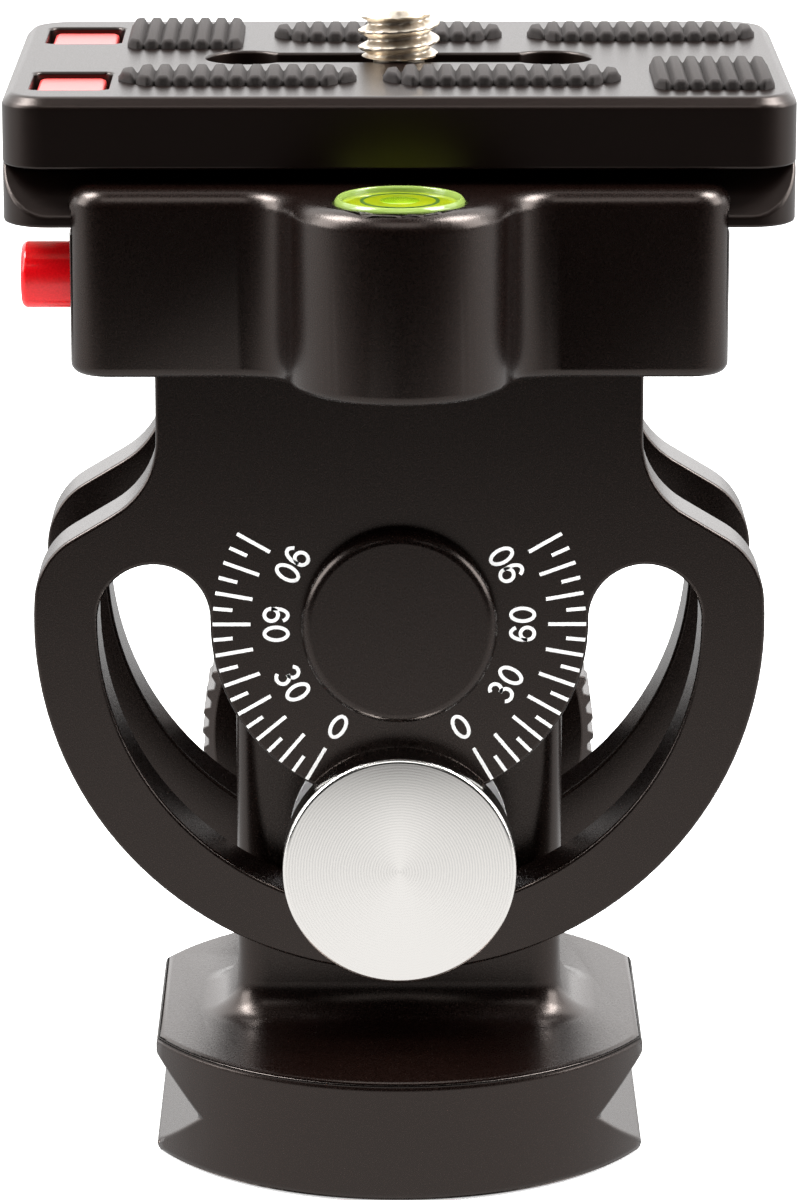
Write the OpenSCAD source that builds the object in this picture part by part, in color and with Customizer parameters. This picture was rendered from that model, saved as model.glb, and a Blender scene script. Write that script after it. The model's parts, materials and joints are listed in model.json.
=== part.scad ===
// Monopod tilt head: a post on a dovetail base, a two-legged yoke that tilts on it,
// and a quick-release clamp that holds a camera plate.
// Millimetres. Z is up, the origin is the middle of the base's underside,
// the tilt axis lies along Y and the dial side faces -Y.

/* [Base] */
// Diameter of the round base
base_d = 43.8; // [42:0.1:50]
// Width across the two dovetail flats
base_w = 38.8; // [36:0.1:40]
// Height of the base
base_h = 9.8; // [9:0.1:13]
// Depth of the V groove in each flat
groove_depth = 3.6; // [2:0.1:3.8]
// Height of the groove's bottom line above the underside
groove_h = 4.6; // [4.2:0.1:5.2]
// Chamfer on the upper rim of the base
base_chamfer = 0.4; // [0.3:0.1:1.4]
// Bore of the stand thread
thread_d = 9.5; // [6.3:0.1:10]
// Outside diameter of the threaded insert
insert_d = 12.4; // [11.5:0.1:13]
// Length of the threaded insert
insert_l = 9; // [6:0.1:9.6]

/* [Post] */
// Width of the post across the front
post_w = 26; // [23:0.5:28]
// Thickness of the post from front to back
post_t = 11.2; // [10.4:0.1:14]
// Radius of the post's upright edges
post_edge_r = 2.5; // [1:0.1:4]
// Radius of the fillet at the post's root
post_root_r = 3; // [1:0.1:4]
// Height of the tilt axis above the base
pivot_rise = 34.4; // [33:0.1:42]

/* [Yoke] */
// Thickness of each leg
leg_t = 5.6; // [4:0.1:6.5]
// Radius of the dial tongue around the tilt axis
tongue_r = 14.75; // [13.5:0.05:15.5]
// Width of the curved slot
slot_w = 8.8; // [8.5:0.1:9.6]
// Width of the rim outside the slot
rim_w = 4.95; // [4:0.05:6]
// Angle from straight down to the middle of each slot end
slot_end_deg = 91; // [80:1:100]
// Width of the neck under the clamp
neck_w = 37.7; // [35:0.1:40]
// Height of the neck's top above the tilt axis
neck_rise = 21.6; // [20.5:0.1:26]
// Thickness of the bridge that joins the legs
bridge_t = 5.6; // [5:0.1:6.4]
// Round where the rim turns up to the shoulder
shoulder_r = 6; // [4:0.1:8]
// Fillet where the shoulder meets the neck
shoulder_fillet = 7; // [5:0.1:9]
// Fall of the shoulder towards the rim, in degrees
shoulder_slope = 31; // [26:1:36]
// Angle above level where the rim becomes the shoulder
shoulder_deg = 4.2; // [3:0.1:9]

/* [Tilt pivot] */
// Diameter of the tilt axle
axle_d = 8; // [7:0.1:9]
// Wall of the pivot bushes
bush_wall = 1.2; // [0.8:0.1:1.6]
// Length of each bush in the post
bush_l = 4.6; // [3:0.1:5]
// Diameter of the bush flange
bush_flange_d = 14.4; // [12.5:0.1:16]
// Diameter of the round pivot caps
cap_d = 15.3; // [13:0.1:18]
// Thickness of the pivot caps
cap_t = 1.8; // [1:0.1:3]
// Chamfer on the pivot caps
cap_chamfer = 0.5; // [0.2:0.1:0.9]
// Diameter of the stud that screws each cap to the axle
cap_stud_d = 4.8; // [3:0.1:5.4]
// Length of that stud
cap_stud_l = 5; // [3:0.1:7]

/* [Tilt lock] */
// Diameter of the bolt's plain front disc
disc_d = 18.35; // [16:0.05:21]
// Thickness of the bolt's front disc
disc_t = 3.4; // [2:0.1:5]
// Diameter of the bolt's shank
bolt_d = 6; // [5:0.1:7]
// Thickness of the friction washers beside the post
washer_t = 0.75; // [0.5:0.05:1.2]
// Diameter of the friction washers
washer_d = 17.5; // [14:0.1:18.5]
// Thickness of the thrust washer's flange behind the yoke
thrust_t = 1.2; // [0.8:0.1:2]
// Diameter of the lock knob over its teeth
knob_d = 33.2; // [26:0.1:36]
// Length of the knob's toothed rim
knob_rim_l = 9.6; // [9:0.1:14]
// Number of teeth on the knob
knob_teeth = 62; // [40:1:80]
// Depth of the teeth
tooth_depth = 0.5; // [0.3:0.05:0.8]
// Diameter of the knob's collar
knob_collar_d = 17; // [15:0.1:22]
// Diameter of the threaded bush in the knob
knob_bush_d = 11; // [9.5:0.1:13]
// Diameter of the cap in the knob's end
knob_cap_d = 22; // [16:0.1:25]
// Thickness of the cap in the knob's end
knob_cap_t = 2.2; // [1.2:0.1:3]

/* [Quick-release clamp] */
// Length of the clamp along the plate
clamp_l = 49.8; // [46:0.1:51]
// Height of the clamp's floor
floor_t = 11.05; // [10.6:0.05:13]
// Height of the jaws above the floor
jaw_rise = 3.35; // [2.4:0.05:3.9]
// Wall of the jaws beyond the plate's edge
jaw_wall = 2.3; // [2:0.1:4]
// Radius of the clamp's upright corners
clamp_corner_r = 3; // [2.2:0.1:4]
// Round on the clamp's upper edge
clamp_top_r = 1.5; // [0.5:0.1:1.7]
// Round on the clamp's lower edge
clamp_low_r = 0.8; // [0.3:0.1:1.2]
// Radius of the boss that holds the level
boss_r = 8.5; // [7.8:0.1:10]
// How far the boss stands out of the clamp's front
boss_out = 10.1; // [9.4:0.1:12]
// Fillet on each side of the boss
boss_fillet = 4; // [2.5:0.1:5]
// Distance of the moving jaw's joint behind the middle
joint_y = 13; // [12:0.1:14]
// How far the jaw opens
jaw_travel = 4; // [2:0.1:4.4]
// Diameter of the jaw's two guide pins
guide_d = 4; // [3:0.1:4.4]
// Distance between the two guide pins
guide_span = 39; // [37.5:0.1:40]
// Diameter of the clamp stud
stud_d = 6; // [5:0.1:6.6]
// Diameter of the clamp knob over its teeth
clamp_knob_d = 20; // [15:0.1:22]
// Length of the clamp knob's toothed rim
clamp_knob_l = 10; // [8.5:0.1:14]
// Number of teeth on the clamp knob
clamp_knob_teeth = 38; // [24:1:50]
// Diameter of the four screws that hold the clamp on the yoke
fix_d = 4; // [3:0.1:4.4]
// Spacing of those screws along the plate
fix_span_x = 25; // [23:0.1:26]
// Spacing of those screws across the plate
fix_span_y = 10; // [9:0.1:11]

/* [Level] */
// Diameter of the round level
level_d = 9.7; // [8:0.1:10.4]
// Depth of the level in the clamp
level_depth = 5.6; // [4:0.1:7]
// How far the level stands proud
level_proud = 0.3; // [0.1:0.05:0.6]
// Wall of the level's cup
level_wall = 0.75; // [0.5:0.05:1]
// Diameter of the bubble
bubble_d = 3.2; // [2:0.1:4]

/* [Safety release] */
// Diameter of the red button
button_d = 5.1; // [4:0.1:6]
// How far the button stands out
button_out = 4; // [3.2:0.1:5]
// How far the button is pushed in
button_travel = 2.5; // [1.5:0.1:2.8]
// Distance of the button in front of the middle
button_y = 12; // [11:0.1:12.5]
// Height of the button's axis above the clamp's underside
button_rise = 6.2; // [5.4:0.1:6.4]
// Diameter of the button's push rod
rod_d = 2.4; // [2:0.1:2.8]
// Diameter of the safety pin
pin_d = 4; // [3.6:0.1:4.4]
// How far the safety pin stands above the clamp's floor
pin_up = 1.4; // [1:0.1:1.6]
// Rise of the ramp per unit of button travel
ramp_ratio = 0.6; // [0.56:0.01:0.7]
// How far the plate slides each way between its stops
plate_travel = 8; // [4:0.5:8]

/* [Camera plate] */
// Length of the plate
plate_l = 60; // [58:0.5:70]
// Width of the plate
plate_w = 38; // [36.5:0.1:39.5]
// Height of the plate's upper band
band_h = 5.45; // [5:0.05:7]
// Depth of the dovetail flank
flank = 3.6; // [3:0.1:4]
// Height of the lip under the flank
lip_h = 0.85; // [0.6:0.05:1.2]
// Radius of the plate's upright corners
plate_corner_r = 3.5; // [2:0.1:5]
// Chamfer around the plate's top
plate_chamfer = 0.7; // [0.3:0.1:1]
// Length of each catch window
window_l = 6; // [5:0.1:6.2]
// Width of each catch window
window_w = 8.2; // [7:0.1:8.6]
// Distance of the windows from the plate's left end
window_end = 2; // [1.8:0.1:2.6]
// Distance of the windows from the plate's long middle line
window_y = 11; // [10:0.1:11.4]
// Depth of the catches below the plate's top
catch_sink = 0.4; // [0.3:0.1:1]
// How far the catches can be pushed up
catch_travel = 1; // [0.5:0.1:1]
// How far the catch feet stand below the plate
catch_foot = 1; // [0.6:0.1:1.2]
// Height of the rubber pads above the plate
pad_h = 0.8; // [0.5:0.05:1.2]
// Spacing of the ribs on the rubber pads
rib_pitch = 1.35; // [1.1:0.05:1.8]

/* [Camera screw] */
// Diameter of the camera thread
screw_d = 6.35; // [6:0.05:9.6]
// Height of the thread above the plate
screw_rise = 4; // [3.5:0.1:6]
// Diameter of the screw's neck in the slot
neck_d = 4; // [3.6:0.1:4.6]
// Length of the slot that the screw slides in
screw_slot_l = 30; // [26:0.5:32]
// Diameter of the screw's head under the plate
screw_head_d = 13; // [11:0.1:14]
// Thickness of the screw's head
screw_head_t = 2.2; // [1.6:0.1:2.4]

/* [Clearances] */
// Radial clearance of turning and sliding fits
run_gap = 0.05; // [0.02:0.01:0.1]
// Gap between flat faces that slide on each other
face_gap = 0.05; // [0.03:0.01:0.1]
// Radial clearance of pressed and screwed fits
press_gap = 0.01; // [0.005:0.005:0.02]
// Play around pieces that only pass each other
loose_gap = 0.2; // [0.15:0.01:0.3]
// Gap between the plate's edges and the jaws
jaw_gap = 0.12; // [0.05:0.01:0.2]
// Gap between the lock knob and the base
knob_gap = 1; // [0.5:0.1:2]

/* [Hidden] */
$fn = 96;
// Overlap of solids that are joined, and reach of cuts past a face
eps = 0.5;
// Depth by which a hollow fillet cuts into the surfaces that it blends
blend_cut = 0.02;
black = "#1b1a1b";
steel = "#cfcac4";
brass = "#b59a52";
red = "#d8101c";
rubber = "#4c484a";

// Heights
pivot_z = base_h + pivot_rise;
lock_r = tongue_r + slot_w / 2;
lock_z = pivot_z - lock_r;
rim_r = tongue_r + slot_w + rim_w;
clamp_z = pivot_z + neck_rise;
bridge_z = clamp_z - bridge_t;
seat_z = clamp_z + floor_t;
jaw_z = seat_z + jaw_rise;
plate_z = seat_z + face_gap;
flank_z = plate_z + lip_h;
band_z = flank_z + flank;
top_z = band_z + band_h;

// Depths along Y, counted from the middle plane
post_face = post_t / 2;
leg_in = post_face + washer_t + face_gap;
leg_out = leg_in + leg_t;
disc_y = leg_out + face_gap;
thrust_y = leg_out + face_gap;
thrust_end = thrust_y + thrust_t;
knob_y = thrust_end + face_gap;
knob_rim_y = base_d / 2 + knob_gap;
knob_end = knob_rim_y + knob_rim_l;
clamp_front = plate_w / 2 + jaw_wall;
boss_y = clamp_front + boss_out - boss_r;
level_y = boss_y + boss_out / 4;
boss_fillet_y = clamp_front + boss_fillet;
boss_fillet_x = sqrt(pow(boss_r + boss_fillet, 2) - pow(boss_fillet_y - boss_y, 2));
button_z = clamp_z + button_rise;
clamp_axis_z = clamp_z + floor_t / 2;

// Tilt lock: web of the knob before its bush, and how far the bolt ends short of the cap
knob_web = 2;
bolt_short = 2.5;

// Screws that hold the clamp: head, depth below the floor, socket
fix_head_d = 1.85 * fix_d;
fix_head_t = 2.4;
fix_sink = 0.2;
fix_socket = 1.6;
fix_short = 0.6;

// Walls of the springs, drawn as plain tubes
spring_wall = 0.7;

// Safety release, counted from the clamp's left end
button_chamfer = 0.3;
button_inside = 8;
button_in = -clamp_l / 2 + button_inside;
button_spring_l = 2;
stop_d = 1.6;
stop_inside = 4.2;
stop_reach = 0.8;
stop_pin_x = -clamp_l / 2 + stop_inside;
pin_wall = 0.4;
pin_x = button_in + button_travel + button_spring_l + pin_wall + pin_d / 2;
pin_foot = 1.2;
pin_low = button_z - rod_d / 2 - pin_foot;
pin_spring_l = 2.6;
pin_drop = ramp_ratio * button_travel;
nose_lead = 0.5;
nose_back = rod_d / 2 / ramp_ratio + nose_lead;

// Moving jaw: joint, guide pins, springs and stud
joint_gap = 0.3;
jaw_y = joint_y + joint_gap;
guide_y = 3;
guide_grip = 2.8;
guide_end = jaw_y + jaw_travel + guide_grip;
jaw_spring_l = 5.5;
spring_bore_d = guide_d + 2 * spring_wall + 2 * loose_gap + 4 * run_gap;
stud_y = -4;

// Clamp knob
clamp_washer_t = 0.8;
clamp_collar_wall = 3;
clamp_collar_l = 2.5;
clamp_bush_wall = 1.5;
clamp_cap_t = 1.6;
clamp_cap_sink = 0.2;
clamp_washer_y = clamp_front + face_gap;
clamp_knob_y = clamp_washer_y + clamp_washer_t + face_gap;
clamp_rim_y = clamp_knob_y + clamp_collar_l;
clamp_knob_end = clamp_rim_y + clamp_knob_l;
clamp_cap_y = clamp_knob_end - clamp_cap_t;
cap_edge = 0.3;

// Catches: windows, cavities above the retainer, flange and foot
window_x = -plate_l / 2 + window_end + window_l / 2;
window_r = 0.8;
cavity_edge = 0.7;
cavity_h = 5.3;
retainer_t = 1.3;
retainer_edge = 1;
retainer_l = window_l + 2 * retainer_edge;
retainer_w = 2 * window_y + window_w + retainer_edge;
retainer_z = plate_z + 2 * face_gap;
catch_play = 0.4;
catch_foot_l = 3;
catch_foot_w = 3.6;
catch_shelf = retainer_z + retainer_t + face_gap;
catch_flange_t = 1.1;

// Camera screw
head_play = 0.3;
head_room = 0.65;
clip_t = 0.5;
thread_gap = 0.15;
thread_lead = 0.6;
thread_run = 0.3;
driver_w = 1.6;
driver_depth = 1.2;
slot_round_x = screw_slot_l / 2 - screw_d / 2;
screw_travel = slot_round_x - neck_d / 2 - loose_gap;
head_z = plate_z + head_room;
clip_z = head_z + screw_head_t + face_gap / 2;
head_recess_h = clip_z + clip_t + face_gap / 2 - plate_z;

// Rubber pads
pad_left = window_x + window_l / 2 + 3 * loose_gap;
pad_right = plate_l / 2 - 8 * loose_gap;
pad_web = 0.45 * pad_h;
block_l = 9.1;
block_w = 11.4;
block_y = 9.7;
block_point = 0.8;
block_space = 2.4;
long_w = 5.7;
long_y = 10.6;
long_point = 2.2;
long_space = 2;
long_l = (pad_right - pad_left - block_l - block_space - long_space) / 2;

// Modules that place and shape profiles

// Extrudes a profile drawn in X and Z from y0 to y1
module along_y(y0, y1) {
    translate([0, y1, 0]) rotate([90, 0, 0]) linear_extrude(height = y1 - y0) children();
}

// Extrudes a profile drawn in Y and Z from x0 to x1
module along_x(x0, x1) {
    translate([x0, 0, 0]) rotate([90, 0, 90]) linear_extrude(height = x1 - x0) children();
}

// Round bar along Y at height z
module bar_y(d, y0, y1, x = 0, z = 0) {
    translate([x, y0, z]) rotate([-90, 0, 0]) cylinder(d = d, h = y1 - y0);
}

// Round bar along X at depth y and height z
module bar_x(d, x0, x1, y = 0, z = 0) {
    translate([x0, y, z]) rotate([0, 90, 0]) cylinder(d = d, h = x1 - x0);
}

// Turns a profile drawn as radius and depth around an axis along Y
module turned_y(z, x = 0) {
    translate([x, 0, z]) rotate([-90, 0, 0]) rotate_extrude() children();
}

// Disc profile with a chamfer on the edges chosen
module disc_profile(r, y0, y1, c0 = 0, c1 = 0) {
    polygon([[0, y0], [r - c0, y0], [r, y0 + c0], [r, y1 - c1], [r - c1, y1], [0, y1]]);
}

// Rectangle with rounded corners, centred
module round_rect(l, w, r) {
    square([l - 2 * r, w], center = true);
    square([l, w - 2 * r], center = true);
    for (x = [-1, 1], y = [-1, 1]) {
        translate([x * (l / 2 - r), y * (w / 2 - r)]) circle(r);
    }
}

// Rectangle whose upper corners are rounded by rt and lower ones by rl
module soft_rect(x0, x1, z0, z1, rt, rl) {
    translate([x0, z0 + rl]) square([x1 - x0, z1 - z0 - rt - rl]);
    translate([x0 + rt, z1 - rt - eps]) square([x1 - x0 - 2 * rt, rt + eps]);
    translate([x0 + rl, z0]) square([x1 - x0 - 2 * rl, rl + eps]);
    for (x = [x0 + rt, x1 - rt]) translate([x, z1 - rt]) circle(rt);
    for (x = [x0 + rl, x1 - rl]) translate([x, z0 + rl]) circle(rl);
}

// Round post with softened upper and lower edges
module soft_post(r, z0, z1, rt, rl) {
    rotate_extrude() intersection() {
        soft_rect(-r, r, z0, z1, rt, rl);
        translate([0, z0]) square([r, z1 - z0]);
    }
}

// Block with rounded upright corners and softened upper and lower edges
module soft_block(x0, x1, y0, y1, z0, z1, r, rt, rl) {
    along_x(x0 + r, x1 - r) soft_rect(y0, y1, z0, z1, rt, rl);
    along_y(y0 + r, y1 - r) soft_rect(x0, x1, z0, z1, rt, rl);
    for (x = [x0 + r, x1 - r], y = [y0 + r, y1 - r]) {
        translate([x, y, 0]) soft_post(r, z0, z1, rt, rl);
    }
}

// Cutter for a hollow upright fillet that opens out at the softened edges
module flared_cut(r, z0, z1, rt, rl) {
    rotate_extrude() {
        translate([0, z0 - eps]) square([r, z1 - z0 + 2 * eps]);
        translate([r, z1 - rt]) difference() {
            square(rt);
            translate([rt, 0]) circle(rt);
        }
        translate([r, z0]) difference() {
            square(rl);
            translate([rl, rl]) circle(rl);
        }
    }
}

// Quarter fillet section with its corner at the origin, sunk a little into both faces
module fillet_section(r) {
    difference() {
        translate([-eps, -eps]) square(r + eps);
        translate([r, r]) circle(r);
    }
}

// Outline of a wheel with straight teeth
module toothed_circle(d, teeth, depth) {
    crest = [0, 0.28, 0.5, 0.78];
    polygon([for (i = [0:teeth - 1]) for (k = [0:3])
        let (a = (i + crest[k]) * 360 / teeth, r = k < 2 ? d / 2 : d / 2 - depth)
        [r * cos(a), r * sin(a)]]);
}

// Base and post

module v_groove() {
    x = base_w / 2;
    polygon([[x - groove_depth, groove_h], [x + eps, groove_h + groove_depth + eps],
        [x + eps, groove_h - groove_depth - eps]]);
}

module base_disc() {
    low_chamfer = 0.4;
    difference() {
        rotate_extrude() disc_profile(base_d / 2, 0, base_h, low_chamfer, base_chamfer);
        for (side = [0, 1]) mirror([side, 0, 0]) along_y(-base_d / 2 - eps, base_d / 2 + eps) {
            x = base_w / 2;
            translate([x, -eps]) square([base_d, base_h + 2 * eps]);
            v_groove();
            polygon([[x - base_chamfer, base_h], [x - base_chamfer, base_h + eps],
                [x + eps, base_h + eps], [x + eps, base_h - base_chamfer - eps]]);
        }
    }
}

module post_shaft() {
    intersection() {
        linear_extrude(height = pivot_z + post_w) round_rect(post_w, post_t, post_edge_r);
        along_y(-post_t, post_t) {
            translate([-post_w / 2, base_h - eps]) square([post_w, pivot_z - base_h + eps]);
            translate([0, pivot_z]) circle(d = post_w);
        }
    }
}

module post_root() {
    x = post_w / 2 - post_edge_r;
    y = post_t / 2 - post_edge_r;
    for (side = [0, 1]) {
        mirror([0, side, 0]) along_x(-x, x) translate([post_t / 2, base_h]) fillet_section(post_root_r);
        mirror([side, 0, 0]) along_y(-y, y) translate([post_w / 2, base_h]) fillet_section(post_root_r);
    }
    for (i = [0:3]) {
        translate([(i == 0 || i == 3 ? 1 : -1) * x, (i < 2 ? 1 : -1) * y, base_h])
            rotate([0, 0, 90 * i]) rotate_extrude(angle = 90)
            translate([post_edge_r, 0]) fillet_section(post_root_r);
    }
}

module base_post() {
    color(black) difference() {
        union() {
            base_disc();
            post_shaft();
            post_root();
        }
        translate([0, 0, -eps]) cylinder(d = insert_d + 2 * press_gap, h = insert_l + eps);
        bar_y(axle_d + 2 * run_gap + 2 * bush_wall + 2 * press_gap, -post_t, post_t, z = pivot_z);
        bar_y(bolt_d + 2 * press_gap, -post_t, post_t, z = lock_z);
    }
}

module thread_insert() {
    color(steel) difference() {
        cylinder(d = insert_d, h = insert_l);
        translate([0, 0, -eps]) cylinder(d = thread_d, h = insert_l + 2 * eps);
    }
}

// Tilt pivot

module pivot_bush() {
    bore = axle_d / 2 + run_gap;
    turned_y(pivot_z) {
        translate([bore, -post_face]) square([bush_wall, bush_l]);
        translate([bore, -post_face - washer_t]) square([bush_flange_d / 2 - bore, washer_t]);
    }
}

module pivot_bush_front() {
    color(brass) pivot_bush();
}

module pivot_bush_rear() {
    color(brass) mirror([0, 1, 0]) pivot_bush();
}

module pivot_axle() {
    end = leg_out - face_gap;
    hole = leg_out - cap_stud_l - eps;
    color(steel) difference() {
        bar_y(axle_d, -end, end, z = pivot_z);
        for (side = [0, 1]) mirror([0, side, 0]) {
            bar_y(cap_stud_d + 2 * press_gap, hole, end + eps, z = pivot_z);
        }
    }
}

module pivot_cap() {
    color(black) turned_y(pivot_z) {
        disc_profile(cap_d / 2, leg_out, leg_out + cap_t, 0, cap_chamfer);
        translate([0, leg_out - cap_stud_l]) square([cap_stud_d / 2, cap_stud_l + eps]);
    }
}

module pivot_cap_front() {
    mirror([0, 1, 0]) pivot_cap();
}

module pivot_cap_rear() {
    pivot_cap();
}

// Tilt lock

module lock_bolt() {
    shoulder_r = slot_w / 2 - 4 * run_gap;
    bolt_end = knob_end - knob_cap_t - bolt_short;
    edge = 0.5;
    color(steel) turned_y(lock_z) {
        disc_profile(disc_d / 2, -disc_y - disc_t, -disc_y, edge, 0);
        translate([0, -disc_y - eps]) square([shoulder_r, disc_y - leg_in + eps]);
        translate([0, -leg_in - eps]) square([bolt_d / 2, leg_in + bolt_end + eps]);
    }
}

module lock_washer() {
    bore = bolt_d / 2 + run_gap;
    color("#d9d6d2") turned_y(lock_z) {
        translate([bore, post_face]) square([washer_d / 2 - bore, washer_t]);
    }
}

module lock_washer_front() {
    mirror([0, 1, 0]) lock_washer();
}

module lock_washer_rear() {
    lock_washer();
}

module lock_thrust_washer() {
    bore = bolt_d / 2 + run_gap;
    hub_r = slot_w / 2 - 4 * run_gap;
    hub_y = leg_in + leg_t / 3;
    color(steel) turned_y(lock_z) {
        translate([bore, thrust_y]) square([knob_collar_d / 2 - bore, thrust_t]);
        translate([bore, hub_y]) square([hub_r - bore, thrust_y - hub_y + eps]);
    }
}

// Toothed rim with chamfered ends, from y0 to y1
module knob_rim(d, teeth, depth, y0, y1, z) {
    chamfer = 2 * depth;
    intersection() {
        translate([0, y0, z]) rotate([-90, 0, 0]) linear_extrude(height = y1 - y0)
            toothed_circle(d, teeth, depth);
        turned_y(z) disc_profile(d / 2 + depth, y0, y1, chamfer + depth, chamfer + depth);
    }
}

module lock_knob() {
    cap_y = knob_end - knob_cap_t;
    bush_y = knob_y + knob_web;
    color(black) difference() {
        union() {
            turned_y(lock_z) disc_profile(knob_collar_d / 2, knob_y, knob_rim_y + eps);
            knob_rim(knob_d, knob_teeth, tooth_depth, knob_rim_y, knob_end, lock_z);
        }
        bar_y(bolt_d + 2 * loose_gap, knob_y - eps, bush_y + eps, z = lock_z);
        bar_y(knob_bush_d + 2 * press_gap, bush_y, knob_end + eps, z = lock_z);
        bar_y(knob_cap_d + 2 * press_gap, cap_y, knob_end + eps, z = lock_z);
    }
}

module lock_knob_bush() {
    bore = bolt_d / 2 + run_gap;
    y = knob_y + knob_web;
    color(brass) turned_y(lock_z) {
        translate([bore, y]) square([knob_bush_d / 2 - bore, knob_end - knob_cap_t - y]);
    }
}

module lock_knob_cap() {
    color(black) turned_y(lock_z) {
        disc_profile(knob_cap_d / 2, knob_end - knob_cap_t, knob_end - cap_edge, 0, cap_edge);
    }
}

// Yoke

// One shoulder of the leg, left of the tilt axis at the origin
module shoulder() {
    across = [-sin(shoulder_slope), cos(shoulder_slope)];
    round_c = (rim_r - shoulder_r) * [-cos(shoulder_deg), sin(shoulder_deg)];
    level = across * round_c + shoulder_r;
    fillet_x = -neck_w / 2 - shoulder_fillet;
    fillet_c = [fillet_x, (level + shoulder_fillet - across[0] * fillet_x) / across[1]];
    difference() {
        union() {
            translate(round_c) circle(shoulder_r);
            polygon([[0, -shoulder_r], round_c, round_c + shoulder_r * across,
                fillet_c - shoulder_fillet * across, [-neck_w / 2, fillet_c[1]], [0, fillet_c[1]]]);
        }
        translate(fillet_c) circle(shoulder_fillet);
    }
}

module leg_slot() {
    reach = 2 * rim_r;
    difference() {
        circle(tongue_r + slot_w);
        circle(tongue_r);
        polygon([[0, 0], reach * [sin(slot_end_deg), -cos(slot_end_deg)], [reach, reach],
            [-reach, reach], reach * [-sin(slot_end_deg), -cos(slot_end_deg)]]);
    }
    for (side = [-1, 1]) {
        translate(lock_r * [side * sin(slot_end_deg), -cos(slot_end_deg)]) circle(d = slot_w);
    }
}

// Round lower part of the leg, up to where the shoulders start
module lower_rim() {
    reach = 2 * rim_r;
    intersection() {
        circle(rim_r);
        polygon([[0, 0], reach * [cos(shoulder_deg), sin(shoulder_deg)], [reach, -reach],
            [-reach, -reach], reach * [-cos(shoulder_deg), sin(shoulder_deg)]]);
    }
}

module leg_profile() {
    translate([0, pivot_z]) difference() {
        union() {
            lower_rim();
            translate([-neck_w / 2, 0]) square([neck_w, neck_rise]);
            shoulder();
            mirror([1, 0]) shoulder();
        }
        leg_slot();
    }
}

module yoke() {
    color(black) difference() {
        union() {
            along_y(-leg_out, -leg_in) leg_profile();
            along_y(leg_in, leg_out) leg_profile();
            along_y(-leg_in - eps, leg_in + eps) {
                translate([-neck_w / 2, bridge_z]) square([neck_w, bridge_t]);
            }
        }
        bar_y(axle_d + 2 * press_gap, -leg_out - eps, leg_out + eps, z = pivot_z);
        fixing_holes(fix_d + 2 * press_gap, bridge_z - eps, clamp_z + eps);
    }
}

// Quick-release clamp

module fixing_holes(d, z0, z1) {
    for (x = [-1, 1], y = [-1, 1]) {
        translate([x * fix_span_x / 2, y * fix_span_y / 2, z0]) cylinder(d = d, h = z1 - z0);
    }
}

// Profile of the dovetail channel between the jaws
module channel_profile() {
    y = plate_w / 2 + jaw_gap;
    polygon([[-y, seat_z], [y, seat_z], [y, flank_z], [y - flank - eps, band_z + eps],
        [-y + flank + eps, band_z + eps], [-y, flank_z]]);
}

// Blank of both jaws and the floor, before the channel is cut
module clamp_blank() {
    x = clamp_l / 2;
    y = clamp_front;
    soft_block(-x, x, -y, y, clamp_z, jaw_z, clamp_corner_r, clamp_top_r, clamp_low_r);
}

// Middle of the fixed jaw: the boss for the level with its two hollow fillets
module boss_middle() {
    share = boss_r / (boss_r + boss_fillet);
    touch = [boss_fillet_x * share, -boss_y - (boss_fillet_y - boss_y) * share];
    difference() {
        union() {
            translate([0, -boss_y, 0]) soft_post(boss_r, clamp_z, jaw_z, clamp_top_r, clamp_low_r);
            translate([0, 0, clamp_z]) linear_extrude(height = jaw_z - clamp_z) polygon([
                [-boss_fillet_x, joint_y], [-boss_fillet_x, -clamp_front], [-touch[0], touch[1]],
                [0, -boss_y], touch, [boss_fillet_x, -clamp_front], [boss_fillet_x, joint_y]]);
        }
        for (side = [-1, 1]) {
            translate([side * boss_fillet_x, -boss_fillet_y, 0])
                flared_cut(boss_fillet + blend_cut, clamp_z, jaw_z, clamp_top_r, clamp_low_r);
        }
    }
}

// The two ends of the fixed jaw and floor, beside the middle
module clamp_ends() {
    intersection() {
        clamp_blank();
        for (side = [0, 1]) mirror([side, 0, 0]) {
            translate([boss_fillet_x, -clamp_front - eps, clamp_z - eps])
                cube([clamp_l, clamp_front + joint_y + eps, jaw_z]);
        }
    }
}

// Grooves in the floor for the feet of the plate's catches
module catch_grooves() {
    depth = catch_foot + loose_gap;
    left = -clamp_l / 2 - eps;
    right = window_x + plate_travel + catch_foot_l / 2 + 2 * loose_gap;
    w = catch_foot_w + 2 * loose_gap;
    for (y = [-1, 1]) {
        translate([left, y * window_y - w / 2, seat_z - depth]) cube([right - left, w, depth + eps]);
    }
}

// Bores for the button, its rod, its stop pin and the safety pin
module release_bores() {
    bar_x(button_d + 2 * run_gap, -clamp_l / 2 - eps, button_in + button_travel + button_spring_l,
        -button_y, button_z);
    bar_x(rod_d + 2 * run_gap, button_in, pin_x + nose_back + button_travel, -button_y, button_z);
    translate([stop_pin_x, -button_y, clamp_z - eps])
        cylinder(d = stop_d + 2 * press_gap, h = button_rise + eps);
    translate([pin_x, -button_y, pin_low - pin_spring_l]) cylinder(d = pin_d + 2 * run_gap, h = seat_z);
}

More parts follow.
